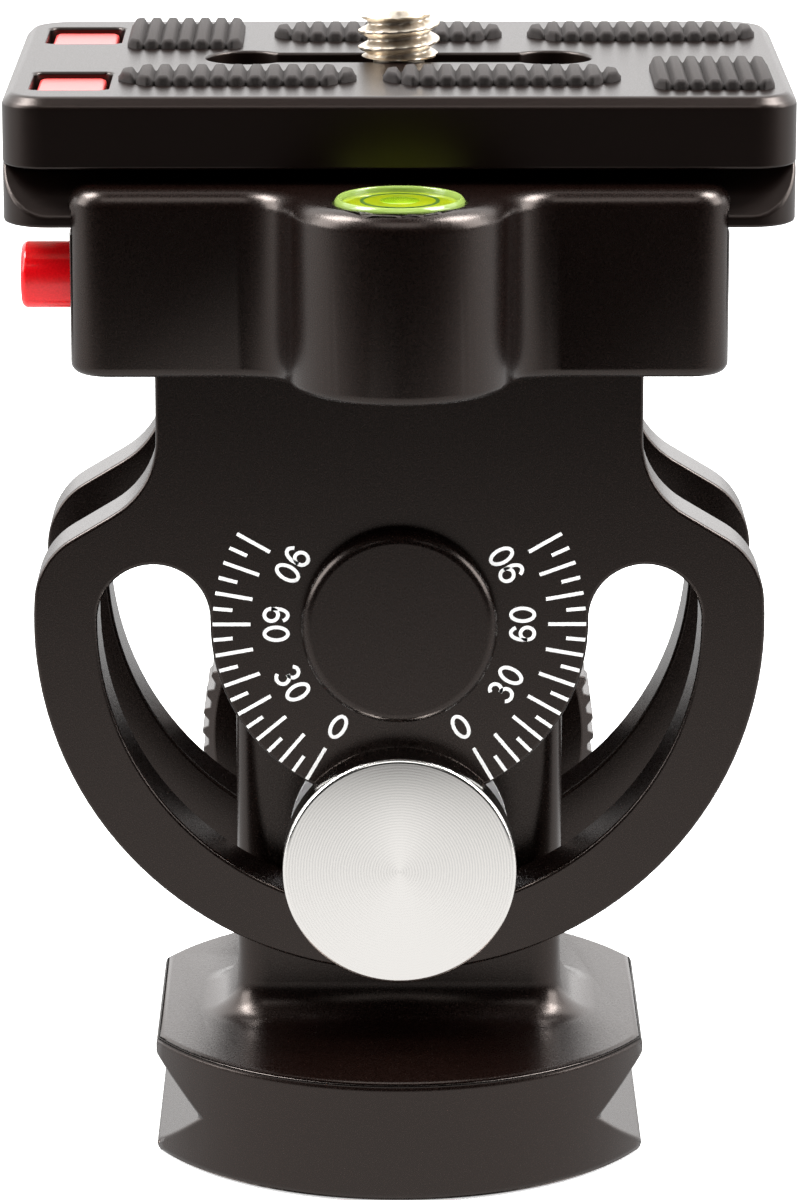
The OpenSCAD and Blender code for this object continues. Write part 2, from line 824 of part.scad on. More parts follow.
module clamp_body() {
    x = clamp_l / 2;
    color(black) difference() {
        union() {
            clamp_ends();
            boss_middle();
        }
        along_x(-x - eps, x + eps) channel_profile();
        translate([0, -level_y, jaw_z - level_depth])
            cylinder(d = level_d + 2 * press_gap, h = level_depth + eps);
        fixing_holes(fix_d + 2 * press_gap, clamp_z - eps, seat_z + eps);
        fixing_holes(fix_head_d + 2 * press_gap, seat_z - fix_head_t - fix_sink, seat_z + eps);
        release_bores();
        catch_grooves();
        bar_y(stud_d + 2 * press_gap, stud_y, joint_y + eps, z = clamp_axis_z);
        for (side = [-1, 1]) {
            bar_y(guide_d + 2 * press_gap, guide_y, joint_y + eps, side * guide_span / 2, clamp_axis_z);
            bar_y(spring_bore_d, joint_y - jaw_spring_l, joint_y + eps, side * guide_span / 2, clamp_axis_z);
        }
    }
}

module clamp_fixing_screws() {
    top = seat_z - fix_sink;
    socket_d = 0.62 * fix_d;
    color(steel) difference() {
        union() {
            fixing_holes(fix_d, bridge_z + fix_short, top - fix_head_t + eps);
            fixing_holes(fix_head_d, top - fix_head_t, top);
        }
        fixing_holes(socket_d, top - fix_socket, seat_z, $fn = 6);
    }
}

// Level

module level_cup() {
    r = level_d / 2;
    low = jaw_z - level_depth;
    high = jaw_z + level_proud;
    color("#e8f5c8", 0.5) translate([0, -level_y, 0]) rotate_extrude() difference() {
        disc_profile(r, low, high, 0, level_proud);
        translate([-eps, low + level_wall]) square([r - level_wall + eps, high - low - 2 * level_wall]);
    }
}

// Flat drop of air under the cup's lid
module bubble_shape() {
    high = jaw_z + level_proud - level_wall;
    depth = bubble_d / 4;
    translate([0, -level_y, 0]) intersection() {
        translate([0, 0, high]) sphere(d = bubble_d);
        translate([0, 0, high - depth]) cylinder(d = 2 * bubble_d, h = depth);
    }
}

module level_fluid() {
    low = jaw_z - level_depth + level_wall;
    high = jaw_z + level_proud - level_wall;
    color("#b4e61e") difference() {
        translate([0, -level_y, low]) cylinder(r = level_d / 2 - level_wall, h = high - low);
        bubble_shape();
    }
}

module level_bubble() {
    color("#f2fbd2") bubble_shape();
}

// Safety release

// Everything under the slant of the rod's nose, with the slant moved down by drop
module nose_ramp(drop) {
    left = pin_x - nose_back;
    low = button_z - rod_d / 2;
    reach = pin_d;
    right = 2 * nose_back + reach;
    deep = 3 * rod_d;
    polygon([[left - reach, low - ramp_ratio * reach - drop], [left + right, low + ramp_ratio * right - drop],
        [left + right, low - deep], [left - reach, low - deep]]);
}

module safety_button() {
    left = -clamp_l / 2 - button_out;
    stop_left = stop_pin_x - stop_d / 2 - button_travel - loose_gap;
    stop_w = stop_d + 4 * run_gap;
    color(red) difference() {
        union() {
            translate([left, -button_y, button_z]) rotate([0, 90, 0]) rotate_extrude()
                disc_profile(button_d / 2, 0, button_in - left, button_chamfer, 0);
            bar_x(rod_d, button_in - eps, pin_x + nose_back - face_gap, -button_y, button_z);
        }
        along_y(-button_y - rod_d, -button_y + rod_d) intersection() {
            nose_ramp(0);
            translate([pin_x - nose_back, button_z - rod_d]) square([3 * nose_back, 2 * rod_d]);
        }
        translate([stop_left, -button_y - stop_w / 2, button_z - button_d])
            cube([stop_d + button_travel + 2 * loose_gap, stop_w, button_d + stop_reach + loose_gap]);
    }
}

module button_stop_pin() {
    low = clamp_z + 2 * face_gap;
    color(steel) translate([stop_pin_x, -button_y, low])
        cylinder(d = stop_d, h = button_z + stop_reach - low);
}

module button_spring() {
    r = button_d / 2 - run_gap;
    low = button_in + face_gap;
    high = button_in + button_travel + button_spring_l - face_gap;
    color(steel) translate([low, -button_y, button_z]) rotate([0, 90, 0]) rotate_extrude()
        translate([r - spring_wall, 0]) square([spring_wall, high - low]);
}

module safety_pin() {
    half = rod_d / 2 + 2 * run_gap;
    window_z = button_z - 2 * rod_d;
    window_h = 2.5 * rod_d + pin_drop + loose_gap;
    color(steel) difference() {
        translate([pin_x, -button_y, pin_low]) cylinder(d = pin_d, h = seat_z + pin_up - pin_low);
        along_y(-button_y - half, -button_y + half) difference() {
            translate([pin_x - pin_d, window_z]) square([2 * pin_d, window_h]);
            nose_ramp(face_gap);
        }
    }
}

module safety_pin_spring() {
    r = pin_d / 2 - run_gap;
    low = pin_low - pin_spring_l + face_gap;
    color(steel) translate([pin_x, -button_y, low]) rotate_extrude()
        translate([r - spring_wall, 0]) square([spring_wall, pin_spring_l - 2 * face_gap]);
}

// Moving jaw

module clamp_jaw() {
    x = clamp_l / 2;
    color(black) difference() {
        intersection() {
            clamp_blank();
            translate([-x - eps, jaw_y, clamp_z - eps]) cube([clamp_l + 2 * eps, clamp_front, jaw_z]);
        }
        along_x(-x - eps, x + eps) channel_profile();
        bar_y(stud_d + 2 * run_gap, jaw_y - eps, clamp_front + eps, z = clamp_axis_z);
        for (side = [-1, 1]) {
            bar_y(guide_d + 2 * run_gap, jaw_y - eps, guide_end + loose_gap,
                side * guide_span / 2, clamp_axis_z);
        }
    }
}

module jaw_guide_pins() {
    color(steel) for (side = [-1, 1]) {
        bar_y(guide_d, guide_y, guide_end, side * guide_span / 2, clamp_axis_z);
    }
}

module jaw_springs() {
    r = spring_bore_d / 2 - run_gap;
    low = joint_y - jaw_spring_l + face_gap;
    color(steel) for (side = [-1, 1]) turned_y(clamp_axis_z, side * guide_span / 2) {
        translate([r - spring_wall, low]) square([spring_wall, jaw_y - face_gap - low]);
    }
}

module clamp_stud() {
    color(steel) bar_y(stud_d, stud_y + face_gap, clamp_cap_y - face_gap, z = clamp_axis_z);
}

module clamp_knob_washer() {
    bore = stud_d / 2 + run_gap;
    color(steel) turned_y(clamp_axis_z) {
        translate([bore, clamp_washer_y]) square([clamp_collar_wall, clamp_washer_t]);
    }
}

module clamp_knob() {
    collar_r = stud_d / 2 + clamp_collar_wall;
    bush_d = stud_d + 2 * clamp_bush_wall;
    color(black) difference() {
        union() {
            turned_y(clamp_axis_z) disc_profile(collar_r, clamp_knob_y, clamp_rim_y + eps);
            knob_rim(clamp_knob_d, clamp_knob_teeth, tooth_depth, clamp_rim_y, clamp_knob_end, clamp_axis_z);
        }
        bar_y(bush_d + 2 * press_gap, clamp_knob_y - eps, clamp_knob_end + eps, z = clamp_axis_z);
        bar_y(2 * collar_r + 2 * press_gap, clamp_cap_y, clamp_knob_end + eps, z = clamp_axis_z);
    }
}

module clamp_knob_bush() {
    bore = stud_d / 2 + run_gap;
    color(brass) turned_y(clamp_axis_z) {
        translate([bore, clamp_knob_y]) square([clamp_bush_wall - run_gap, clamp_cap_y - clamp_knob_y]);
    }
}

module clamp_knob_cap() {
    r = stud_d / 2 + clamp_collar_wall;
    color(black) turned_y(clamp_axis_z) {
        disc_profile(r, clamp_cap_y, clamp_knob_end - clamp_cap_sink, 0, cap_edge);
    }
}

// Camera plate

// Section of the plate's band, w wide on each side, with a chamfered top
module band_section(w) {
    c = plate_chamfer;
    polygon([[-w, band_z], [w, band_z], [w, top_z - c], [w - c, top_z], [-w + c, top_z], [-w, top_z - c]]);
}

module plate_band() {
    l = plate_l / 2;
    w = plate_w / 2;
    r = plate_corner_r;
    along_x(-l + r, l - r) band_section(w);
    along_y(-w + r, w - r) band_section(l);
    for (x = [-1, 1], y = [-1, 1]) {
        translate([x * (l - r), y * (w - r), 0]) rotate_extrude()
            disc_profile(r, band_z, top_z, 0, plate_chamfer);
    }
}

module plate_dovetail() {
    w = plate_w / 2;
    neck = w - flank;
    intersection() {
        along_x(-plate_l / 2, plate_l / 2) polygon([[-w, plate_z], [w, plate_z], [w, flank_z], [neck, band_z],
            [neck, band_z + eps], [-neck, band_z + eps], [-neck, band_z], [-w, flank_z]]);
        translate([0, 0, plate_z]) linear_extrude(height = band_z - plate_z + eps)
            round_rect(plate_l, plate_w, plate_corner_r);
    }
}

// Slot for the camera screw with round holes at its ends, and the recess for its head
module screw_slot() {
    recess_d = screw_head_d + 2 * head_play;
    translate([0, 0, plate_z - eps]) linear_extrude(height = top_z - plate_z + 2 * eps) {
        square([2 * slot_round_x, neck_d + 2 * loose_gap], center = true);
        for (side = [-1, 1]) translate([side * slot_round_x, 0]) circle(d = screw_d);
    }
    translate([0, 0, plate_z - eps]) linear_extrude(height = head_recess_h + eps) {
        square([2 * screw_travel, recess_d], center = true);
        for (side = [-1, 1]) translate([side * screw_travel, 0]) circle(d = recess_d);
    }
}

module catch_cavities() {
    for (y = [-1, 1]) translate([window_x, y * window_y, plate_z]) {
        linear_extrude(height = top_z) round_rect(window_l, window_w, window_r);
        linear_extrude(height = cavity_h)
            round_rect(window_l + 2 * cavity_edge, window_w + 2 * cavity_edge, window_r);
    }
    translate([window_x, 0, plate_z - eps]) linear_extrude(height = retainer_z + retainer_t - plate_z + eps)
        round_rect(retainer_l, retainer_w, window_r);
}

// Groove that the clamp's safety pin runs in
module pin_groove() {
    w = pin_d + 2 * loose_gap;
    translate([pin_x, -button_y, plate_z - eps]) linear_extrude(height = pin_up + 2 * loose_gap + eps) {
        square([2 * plate_travel, w], center = true);
        for (side = [-1, 1]) translate([side * plate_travel, 0]) circle(d = w);
    }
}

module camera_plate() {
    color(black) difference() {
        union() {
            plate_band();
            plate_dovetail();
        }
        screw_slot();
        catch_cavities();
        pin_groove();
    }
}

// One rib of a pad, step wide
module rib(step) {
    flat = 0.16 * step;
    root = 0.42 * step;
    polygon([[-root, 0], [root, 0], [root, pad_web], [flat, pad_h], [-flat, pad_h], [-root, pad_web]]);
}

// Ribbed rubber pad from x0 to x1 around y, its corners cut back by point
module pad(x0, x1, y, w, point) {
    ribs = round((x1 - x0) / rib_pitch);
    step = (x1 - x0) / ribs;
    half = w / 2;
    intersection() {
        along_y(y - half, y + half) {
            translate([x0, top_z]) square([x1 - x0, pad_web]);
            for (i = [0:ribs - 1]) translate([x0 + step * (i + 0.5), top_z]) rib(step);
        }
        translate([0, y, top_z - eps]) linear_extrude(height = 2 * pad_h + eps) polygon([
            [x0, -half + point], [x0 + point, -half], [x1 - point, -half], [x1, -half + point],
            [x1, half - point], [x1 - point, half], [x0 + point, half], [x0, half - point]]);
    }
}

// Row of a block pad and two long pads, from the left end
module pad_row() {
    first = pad_left + block_l + block_space;
    second = first + long_l + long_space;
    pad(pad_left, pad_left + block_l, block_y, block_w, block_point);
    pad(first, first + long_l, long_y, long_w, long_point);
    pad(second, second + long_l, long_y, long_w, long_point);
}

module grip_pads() {
    color(rubber) {
        pad_row();
        translate([pad_left + pad_right, 0, 0]) rotate([0, 0, 180]) pad_row();
    }
}

module catch_at(y) {
    foot_z = plate_z - catch_foot;
    top = top_z - catch_sink;
    corner = window_r - loose_gap;
    edge = 2 * cavity_edge - catch_play;
    color(red) translate([window_x, y, 0]) {
        translate([-catch_foot_l / 2, -catch_foot_w / 2, foot_z])
            cube([catch_foot_l, catch_foot_w, catch_shelf + catch_flange_t - foot_z]);
        translate([0, 0, catch_shelf]) linear_extrude(height = catch_flange_t)
            round_rect(window_l + edge, window_w + edge, corner);
        translate([0, 0, catch_shelf]) linear_extrude(height = top - catch_shelf)
            round_rect(window_l - 2 * catch_play, window_w - 2 * catch_play, corner);
    }
}

module catch_front() {
    catch_at(-window_y);
}

module catch_rear() {
    catch_at(window_y);
}

// Spring between the catch's flange and the cavity's roof, drawn as a plain ring
module catch_spring_at(y) {
    low = catch_shelf + catch_flange_t + face_gap;
    high = plate_z + cavity_h - face_gap;
    color(steel) translate([window_x, y, low]) linear_extrude(height = high - low) difference() {
        round_rect(window_l + catch_play, window_w + catch_play, window_r);
        round_rect(window_l - catch_play, window_w - catch_play, window_r);
    }
}

module catch_spring_front() {
    catch_spring_at(-window_y);
}

module catch_spring_rear() {
    catch_spring_at(window_y);
}

module catch_retainer() {
    color(steel) translate([window_x, 0, retainer_z]) linear_extrude(height = retainer_t) difference() {
        round_rect(retainer_l - 2 * press_gap, retainer_w - 2 * press_gap, window_r);
        for (y = [-1, 1]) translate([0, y * window_y]) {
            square([catch_foot_l + loose_gap, catch_foot_w + loose_gap], center = true);
        }
    }
}

// Camera screw

module screw_clip() {
    color(steel) translate([0, 0, clip_z]) difference() {
        cylinder(d = screw_head_d, h = clip_t);
        translate([0, 0, -eps]) cylinder(d = neck_d + 2 * run_gap, h = clip_t + 2 * eps);
    }
}

module camera_screw() {
    thread_z = top_z + thread_gap;
    color(steel) difference() {
        union() {
            translate([0, 0, head_z]) cylinder(d = screw_head_d, h = screw_head_t);
            translate([0, 0, head_z + eps]) cylinder(d = neck_d, h = thread_z - head_z);
            rotate_extrude() disc_profile(screw_d / 2, thread_z, top_z + screw_rise, thread_run, thread_lead);
        }
        translate([-screw_head_d, -driver_w / 2, head_z - eps])
            cube([2 * screw_head_d, driver_w, driver_depth + eps]);
    }
}

base_post();
thread_insert();
pivot_bush_front();
pivot_bush_rear();
pivot_axle();
pivot_cap_front();
pivot_cap_rear();
lock_bolt();
lock_washer_front();
lock_washer_rear();
lock_thrust_washer();
lock_knob();
lock_knob_bush();
lock_knob_cap();
yoke();
clamp_body();
clamp_fixing_screws();
level_cup();
level_fluid();
level_bubble();
safety_button();
button_stop_pin();
button_spring();
safety_pin();
safety_pin_spring();
clamp_jaw();
jaw_guide_pins();
jaw_springs();
clamp_stud();
clamp_knob_washer();
clamp_knob();
clamp_knob_bush();
clamp_knob_cap();
camera_plate();
grip_pads();
catch_front();
catch_rear();
catch_spring_front();
catch_spring_rear();
catch_retainer();
screw_clip();
camera_screw();
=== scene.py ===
# %% [markdown]
# # A monopod tilt head
# The imported model is a fixed frame: every solid is already in its place, in metres. This lesson
# dresses it. Pieces whose shape is right stay and get a finish, edges that catch the light are
# rounded, and threads, teeth, ribs and marks are worked out as surfaces with numpy.

import json

import bmesh
import bpy
import numpy as np
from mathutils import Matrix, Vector


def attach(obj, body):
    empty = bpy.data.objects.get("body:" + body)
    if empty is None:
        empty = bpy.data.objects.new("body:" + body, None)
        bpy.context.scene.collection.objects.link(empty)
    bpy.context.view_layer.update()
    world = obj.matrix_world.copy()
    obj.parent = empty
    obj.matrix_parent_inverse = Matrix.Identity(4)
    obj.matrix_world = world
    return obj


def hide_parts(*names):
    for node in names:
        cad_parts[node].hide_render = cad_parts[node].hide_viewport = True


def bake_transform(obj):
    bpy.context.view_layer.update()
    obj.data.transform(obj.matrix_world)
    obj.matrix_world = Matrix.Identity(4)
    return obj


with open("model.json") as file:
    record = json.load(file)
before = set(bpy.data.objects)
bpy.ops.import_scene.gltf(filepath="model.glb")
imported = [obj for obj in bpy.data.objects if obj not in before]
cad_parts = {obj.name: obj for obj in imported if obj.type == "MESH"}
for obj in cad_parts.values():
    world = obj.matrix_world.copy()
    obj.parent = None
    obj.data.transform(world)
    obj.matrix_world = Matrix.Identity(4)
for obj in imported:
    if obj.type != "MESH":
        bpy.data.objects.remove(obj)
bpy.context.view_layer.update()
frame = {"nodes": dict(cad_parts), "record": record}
nodes = frame["nodes"]
MM = 0.001
print("nodes in the frame:", len(nodes))

# %% [markdown]
# ## Helpers
# A surface here is a grid of points. Its rows follow a profile or a path and its columns go round
# or across, so the faces follow from the two counts alone. A mesh could also be built point by
# point, but whole arrays are shorter and quicker.


# %% Grids and pieces
SAME_POINT, NO_LENGTH = 1e-6, 1e-7  # in metres


def grid_faces(rows, columns, close_rows=False):
    """Corner numbers of a grid's faces, counted row by row.
    The columns go all the way round. Closed rows join the last row to the first as well."""
    row_starts = np.arange(rows if close_rows else rows - 1)
    r, c = np.meshgrid(row_starts, np.arange(columns), indexing="ij")
    r2, c2 = (r + 1) % rows, (c + 1) % columns
    corners = [r * columns + c, r * columns + c2, r2 * columns + c2, r2 * columns + c]
    return np.stack(corners, -1).reshape(-1, 4)


def joined(parts):
    """Several (points, faces) pairs as one pair.
    Each part's corner numbers start after the last one's."""
    points, faces, start = [], [], 0
    for p, f in parts:
        points.append(p.reshape(-1, 3))
        faces.append(f + start)
        start += len(points[-1])
    return np.concatenate(points), np.concatenate(faces)


def cleaned(mesh, sharp_deg):
    """Merges doubled points, drops empty faces and turns faces outwards.
    Edges that bend by more than sharp_deg are marked as sharp."""
    bm = bmesh.new()
    bm.from_mesh(mesh)
    bmesh.ops.remove_doubles(bm, verts=bm.verts, dist=SAME_POINT)
    bmesh.ops.dissolve_degenerate(bm, edges=bm.edges, dist=NO_LENGTH)
    bmesh.ops.recalc_face_normals(bm, faces=bm.faces)
    bm.to_mesh(mesh)
    bm.free()
    mesh.polygons.foreach_set("use_smooth", np.ones(len(mesh.polygons), bool))
    mesh.set_sharp_from_angle(angle=np.radians(sharp_deg))


def new_piece(name, points, faces, material, body, slot, stands_for=(), sharp_deg=35):
    """A mesh piece from points in millimetres.
    It rides on a body, where one is named, and may stand for CAD nodes."""
    mesh = bpy.data.meshes.new(name)
    mesh.from_pydata((points.reshape(-1, 3) * MM).tolist(), [], faces.tolist())
    cleaned(mesh, sharp_deg)
    mesh.materials.append(material)
    piece = bpy.data.objects.new(name, mesh)
    bpy.context.scene.collection.objects.link(piece)
    if body:
        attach(piece, body)
    if stands_for:
        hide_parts(*stands_for)
    print(name, "faces:", len(mesh.polygons))
    return piece


# %% [markdown]
# Most of these parts came off a lathe, so one function turns a profile. An axis is named by the
# letter of the direction it runs along. A second function rounds the corners of a profile, because
# no machined edge is a knife edge.


# %% Turning
AXES = {"x": (1, 2, 0), "y": (2, 0, 1), "z": (0, 1, 2)}
CORNER_SHARE = 0.45  # the most that a rounded corner takes of the side next to it


def turned(profile, axis, centre, columns=96, radius=None, closed=False):
    """A profile of (radius, height) points carried round an axis.
    At the angle t a point sits at radius cos t and radius sin t across the axis, and at its
    height along it. radius, where given, works out the radius from the profile's radius, its
    height and the angle."""
    profile = np.asarray(profile, float)
    t = np.linspace(0, 2 * np.pi, columns, endpoint=False)[None, :]
    r, h = profile[:, :1], profile[:, 1:2]
    r = r + 0 * t if radius is None else radius(r, h, t)
    across, up, along = AXES[axis]
    points = np.zeros(r.shape + (3,))
    points[..., across] = centre[0] + r * np.cos(t)
    points[..., up] = centre[1] + r * np.sin(t)
    points[..., along] = h + 0 * t
    return points, grid_faces(len(profile), columns, close_rows=closed)


def eased(corners, size, steps=3):
    """A profile whose inner corners are cut back by size and bent.
    Each corner becomes a quadratic curve from a point before it to a point after it. The first
    and last points stay."""
    p = np.asarray(corners, float)
    s = np.linspace(0, 1, steps + 1)[:, None]
    rows = [p[:1]]
    for before, corner, after in zip(p[:-2], p[1:-1], p[2:]):
        a, b = before - corner, after - corner
        la, lb = np.linalg.norm(a), np.linalg.norm(b)
        a = corner + a / la * min(size, CORNER_SHARE * la)
        b = corner + b / lb * min(size, CORNER_SHARE * lb)
        rows.append((1 - s) ** 2 * a + 2 * s * (1 - s) * corner + s**2 * b)
    rows.append(p[-1:])
    return np.concatenate(rows)


# %% [markdown]
# ## Finishes
# Each finish is one Principled shader. Values that are the same all over sit on its own sockets;
# only what varies from place to place, such as grain and speckle, comes in through noise on Object
# coordinates, in metres, so that a grain of a tenth of a millimetre has a scale near ten thousand.


# %% Shader helpers
COLOR_BAND, VALUE_BAND = (0.35, 0.65), (0.3, 0.7)  # noise seldom leaves this part of 0 to 1


def finish(name, color, roughness, metallic=0.0, **sockets):
    """A material with one Principled shader, its constants set on the sockets."""
    material = bpy.data.materials.new(name)
    material.use_nodes = True
    shader = material.node_tree.nodes["Principled BSDF"]
    shader.inputs["Base Color"].default_value = (*color, 1)
    shader.inputs["Roughness"].default_value = roughness
    shader.inputs["Metallic"].default_value = metallic
    for socket, value in sockets.items():
        shader.inputs[socket.replace("_", " ")].default_value = value
    return material


def parts_of(material):
    """The node tree's nodes, a function that links two sockets, and the shader."""
    tree = material.node_tree
    return tree.nodes, tree.links.new, tree.nodes["Principled BSDF"]


def object_noise(material, scale, detail=2.0):
    """Noise on Object coordinates, with about scale grains to a metre."""
    graph, link, _ = parts_of(material)
    place = graph.new("ShaderNodeTexCoord")
    noise = graph.new("ShaderNodeTexNoise")
    noise.inputs["Scale"].default_value = scale
    noise.inputs["Detail"].default_value = detail
    link(place.outputs["Object"], noise.inputs["Vector"])
    return noise.outputs["Fac"]


def spread(material, source, socket, low, high):
    """Leads a 0 to 1 source into a shader socket, as a number or a colour between low and high."""
    graph, link, shader = parts_of(material)
    if isinstance(low, tuple):
        ramp = graph.new("ShaderNodeValToRGB")
        for element, position, color in zip(ramp.color_ramp.elements, COLOR_BAND, (low, high)):
            element.position = position
            element.color = (*color, 1)
        link(source, ramp.inputs["Fac"])
        link(ramp.outputs["Color"], shader.inputs[socket])
    else:
        band = graph.new("ShaderNodeMapRange")
        band.inputs["From Min"].default_value, band.inputs["From Max"].default_value = VALUE_BAND
        band.inputs["To Min"].default_value = low
        band.inputs["To Max"].default_value = high
        link(source, band.inputs["Value"])
        link(band.outputs["Result"], shader.inputs[socket])


def bumped(material, source, depth, strength=1.0):
    """Raises the surface by a 0 to 1 source times a depth in millimetres."""
    graph, link, shader = parts_of(material)
    bump = graph.new("ShaderNodeBump")
    bump.inputs["Strength"].default_value = strength
    bump.inputs["Distance"].default_value = depth * MM
    link(source, bump.inputs["Height"])
    link(bump.outputs["Normal"], shader.inputs["Normal"])


# %% [markdown]
# The body is aluminium that was blasted with fine beads and anodised black. It is nearly black, a
# little warm, and the blasting leaves a grain that breaks up its highlights. The camera plate has
# the same colour, a finer and shallower grain and a softer gloss: only at a low angle does its top
# mirror the backdrop.

# %% Black anodised aluminium
WARM = (1.0, 0.85, 0.78, 1)
DARKEST, DARK, LESS_DARK = (0.002, 0.0004, 0.0001), (0.003, 0.0006, 0.0002), (0.004, 0.0008, 0.0003)
black = finish("black_anodised", DARK, 0.28, IOR=1.58, Specular_Tint=WARM)
speckle = object_noise(black, 7000)
spread(black, speckle, "Base Color", DARKEST, LESS_DARK)
spread(black, speckle, "Roughness", 0.24, 0.31)
bumped(black, speckle, 0.012, 0.35)

plate_black = finish("plate_anodised", DARK, 0.33, IOR=1.5, Specular_Tint=WARM)
fine_speckle = object_noise(plate_black, 9000)
spread(plate_black, fine_speckle, "Base Color", DARKEST, LESS_DARK)
spread(plate_black, fine_speckle, "Roughness", 0.29, 0.37)
bumped(plate_black, fine_speckle, 0.006, 0.25)

# %% [markdown]
# The lock bolt's disc is faced on a lathe, so its grain runs in rings and its highlight fans out
# from the middle. Anisotropy with a tangent that runs round the Y axis gives that fan. The screw
# and the small pins are plain stainless steel, a little warm.

# %% Stainless steel
LOCK_Z = 25.05
turned_steel = finish("turned_steel", (0.97, 0.945, 0.91), 0.2, 1.0, Anisotropic=0.7)
graph, link, shader = parts_of(turned_steel)
tangent = graph.new("ShaderNodeTangent")
tangent.direction_type = "RADIAL"
tangent.axis = "Y"
link(tangent.outputs["Tangent"], shader.inputs["Tangent"])
place = graph.new("ShaderNodeTexCoord")
centred = graph.new("ShaderNodeMapping")
centred.inputs["Location"].default_value = (0, 0, -LOCK_Z * MM)
centred.inputs["Scale"].default_value = (1, 0, 1)
rings = graph.new("ShaderNodeTexWave")
rings.wave_type = "RINGS"
rings.rings_direction = "SPHERICAL"
rings.inputs["Scale"].default_value = 1400
rings.inputs["Distortion"].default_value = 1.5
rings.inputs["Detail"].default_value = 2
link(place.outputs["Object"], centred.inputs["Vector"])
link(centred.outputs["Vector"], rings.inputs["Vector"])
spread(turned_steel, rings.outputs["Fac"], "Roughness", 0.16, 0.24)
bumped(turned_steel, rings.outputs["Fac"], 0.002, 0.15)

steel = finish("stainless", (0.66, 0.58, 0.47), 0.36, 1.0)
tool_marks = object_noise(steel, 2500, 3.0)
spread(steel, tool_marks, "Roughness", 0.3, 0.44)
spread(steel, tool_marks, "Base Color", (0.62, 0.53, 0.42), (0.71, 0.64, 0.54))

bronze = finish("bronze", (0.55, 0.4, 0.18), 0.3, 1.0)
spread(bronze, object_noise(bronze, 2500), "Roughness", 0.24, 0.38)

# %% [markdown]
# The button and the two catches are anodised red. The catches' red is paler and pinker than the
# button's: their own red with a painted sheen of the white backdrop. The pads are moulded rubber,
# the washers beside the post a pale plastic that slides well, and the marks a white print with a
# slightly dry surface.

# %% Red, rubber, washers and print
red = finish("red_anodised", (0.64, 0.002, 0.005), 0.2, IOR=1.5)
red_grain = object_noise(red, 6500)
spread(red, red_grain, "Base Color", (0.58, 0.0015, 0.004), (0.7, 0.003, 0.007))
bumped(red, red_grain, 0.006, 0.3)

# painted sheen: the catches' own red made paler and pinker than the button's red
catch_red_painted_sheen = finish("catch_red_painted_sheen", (0.66, 0.045, 0.04), 0.28, IOR=1.5)
catch_grain = object_noise(catch_red_painted_sheen, 6500)
spread(catch_red_painted_sheen, catch_grain, "Base Color", (0.6, 0.04, 0.035), (0.72, 0.05, 0.045))

rubber = finish("rubber", (0.03, 0.025, 0.023), 0.8, IOR=1.4)
rubber_grain = object_noise(rubber, 5000, 3.0)
spread(rubber, rubber_grain, "Base Color", (0.022, 0.018, 0.017), (0.038, 0.032, 0.03))
spread(rubber, rubber_grain, "Roughness", 0.7, 0.9)
bumped(rubber, rubber_grain, 0.02, 0.4)

slide_plastic = finish("friction", (0.9, 0.89, 0.91), 0.42)
spread(slide_plastic, object_noise(slide_plastic, 4000), "Roughness", 0.36, 0.5)

print_white = finish("print_white", (0.97, 0.97, 0.96), 0.5)
spread(print_white, object_noise(print_white, 9000), "Roughness", 0.42, 0.6)

# %% [markdown]
# The level is a cup of cloudy acrylic with a fluorescent liquid under a clear lid. The liquid's
# yellow-green is its own colour. A weak emission on top of it is a painted glow that makes it
# brighter than the lamps alone would, and a clear coat over it gives the lid's gloss.

# %% Level finishes
acrylic = finish("level_body", (0.3, 0.42, 0.1), 0.12, IOR=1.49, Transmission_Weight=0.2)
spread(acrylic, object_noise(acrylic, 900), "Roughness", 0.08, 0.16)
liquid = finish(
    "level_liquid", (0.3, 0.375, 0.002), 0.3,
    # painted glow: the liquid gives off a little light of its own
    Emission_Color=(0.6, 0.8, 0.0, 1), Emission_Strength=0.05,
    Coat_Weight=1.0, Coat_Roughness=0.03,
)
spread(liquid, object_noise(liquid, 500), "Base Color", (0.26, 0.33, 0.001), (0.33, 0.4, 0.003))
air = finish("level_air", (0.23, 0.38, 0.01), 0.08, IOR=1.33, Coat_Weight=1.0, Coat_Roughness=0.03)
spread(air, object_noise(air, 800), "Base Color", (0.19, 0.34, 0.006), (0.27, 0.42, 0.014))
ring_green = finish("level_ring", (0.02, 0.07, 0.004), 0.4)
spread(ring_green, object_noise(ring_green, 4000), "Roughness", 0.34, 0.48)

# %% [markdown]
# ## Solids that stay
# Every solid of the frame first gets its finish. Those with the right shape keep it.

# %% Finishes on the frame
BY_SLOT = {
    "black_anodised": black,
    "stainless": steel,
    "friction": slide_plastic,
    "bronze": bronze,
    "red_anodised": red,
    "rubber": rubber,
    "level_body": acrylic,
    "level_liquid": liquid,
    "level_air": air,
}
for entry in frame["record"]["subparts"]:
    mesh = nodes[entry["node"]].data
    mesh.materials.clear()
    mesh.materials.append(BY_SLOT[entry["material_slot"]])

# %% [markdown]
# ## Machined bodies with broken edges
# A real edge is broken by a small round that shows as a thin bright line. The frame's solids have
# sharp edges, so each machined body is copied, its loose triangles are merged, flat faces are
# joined, and a Bevel rounds every edge that turns by more than a limit. Rounding them in CAD would
# work too, but hundreds of thin faces there would help nobody.


# %% Rounded copies
MERGE, FLAT_DEG = 0.002, 0.4


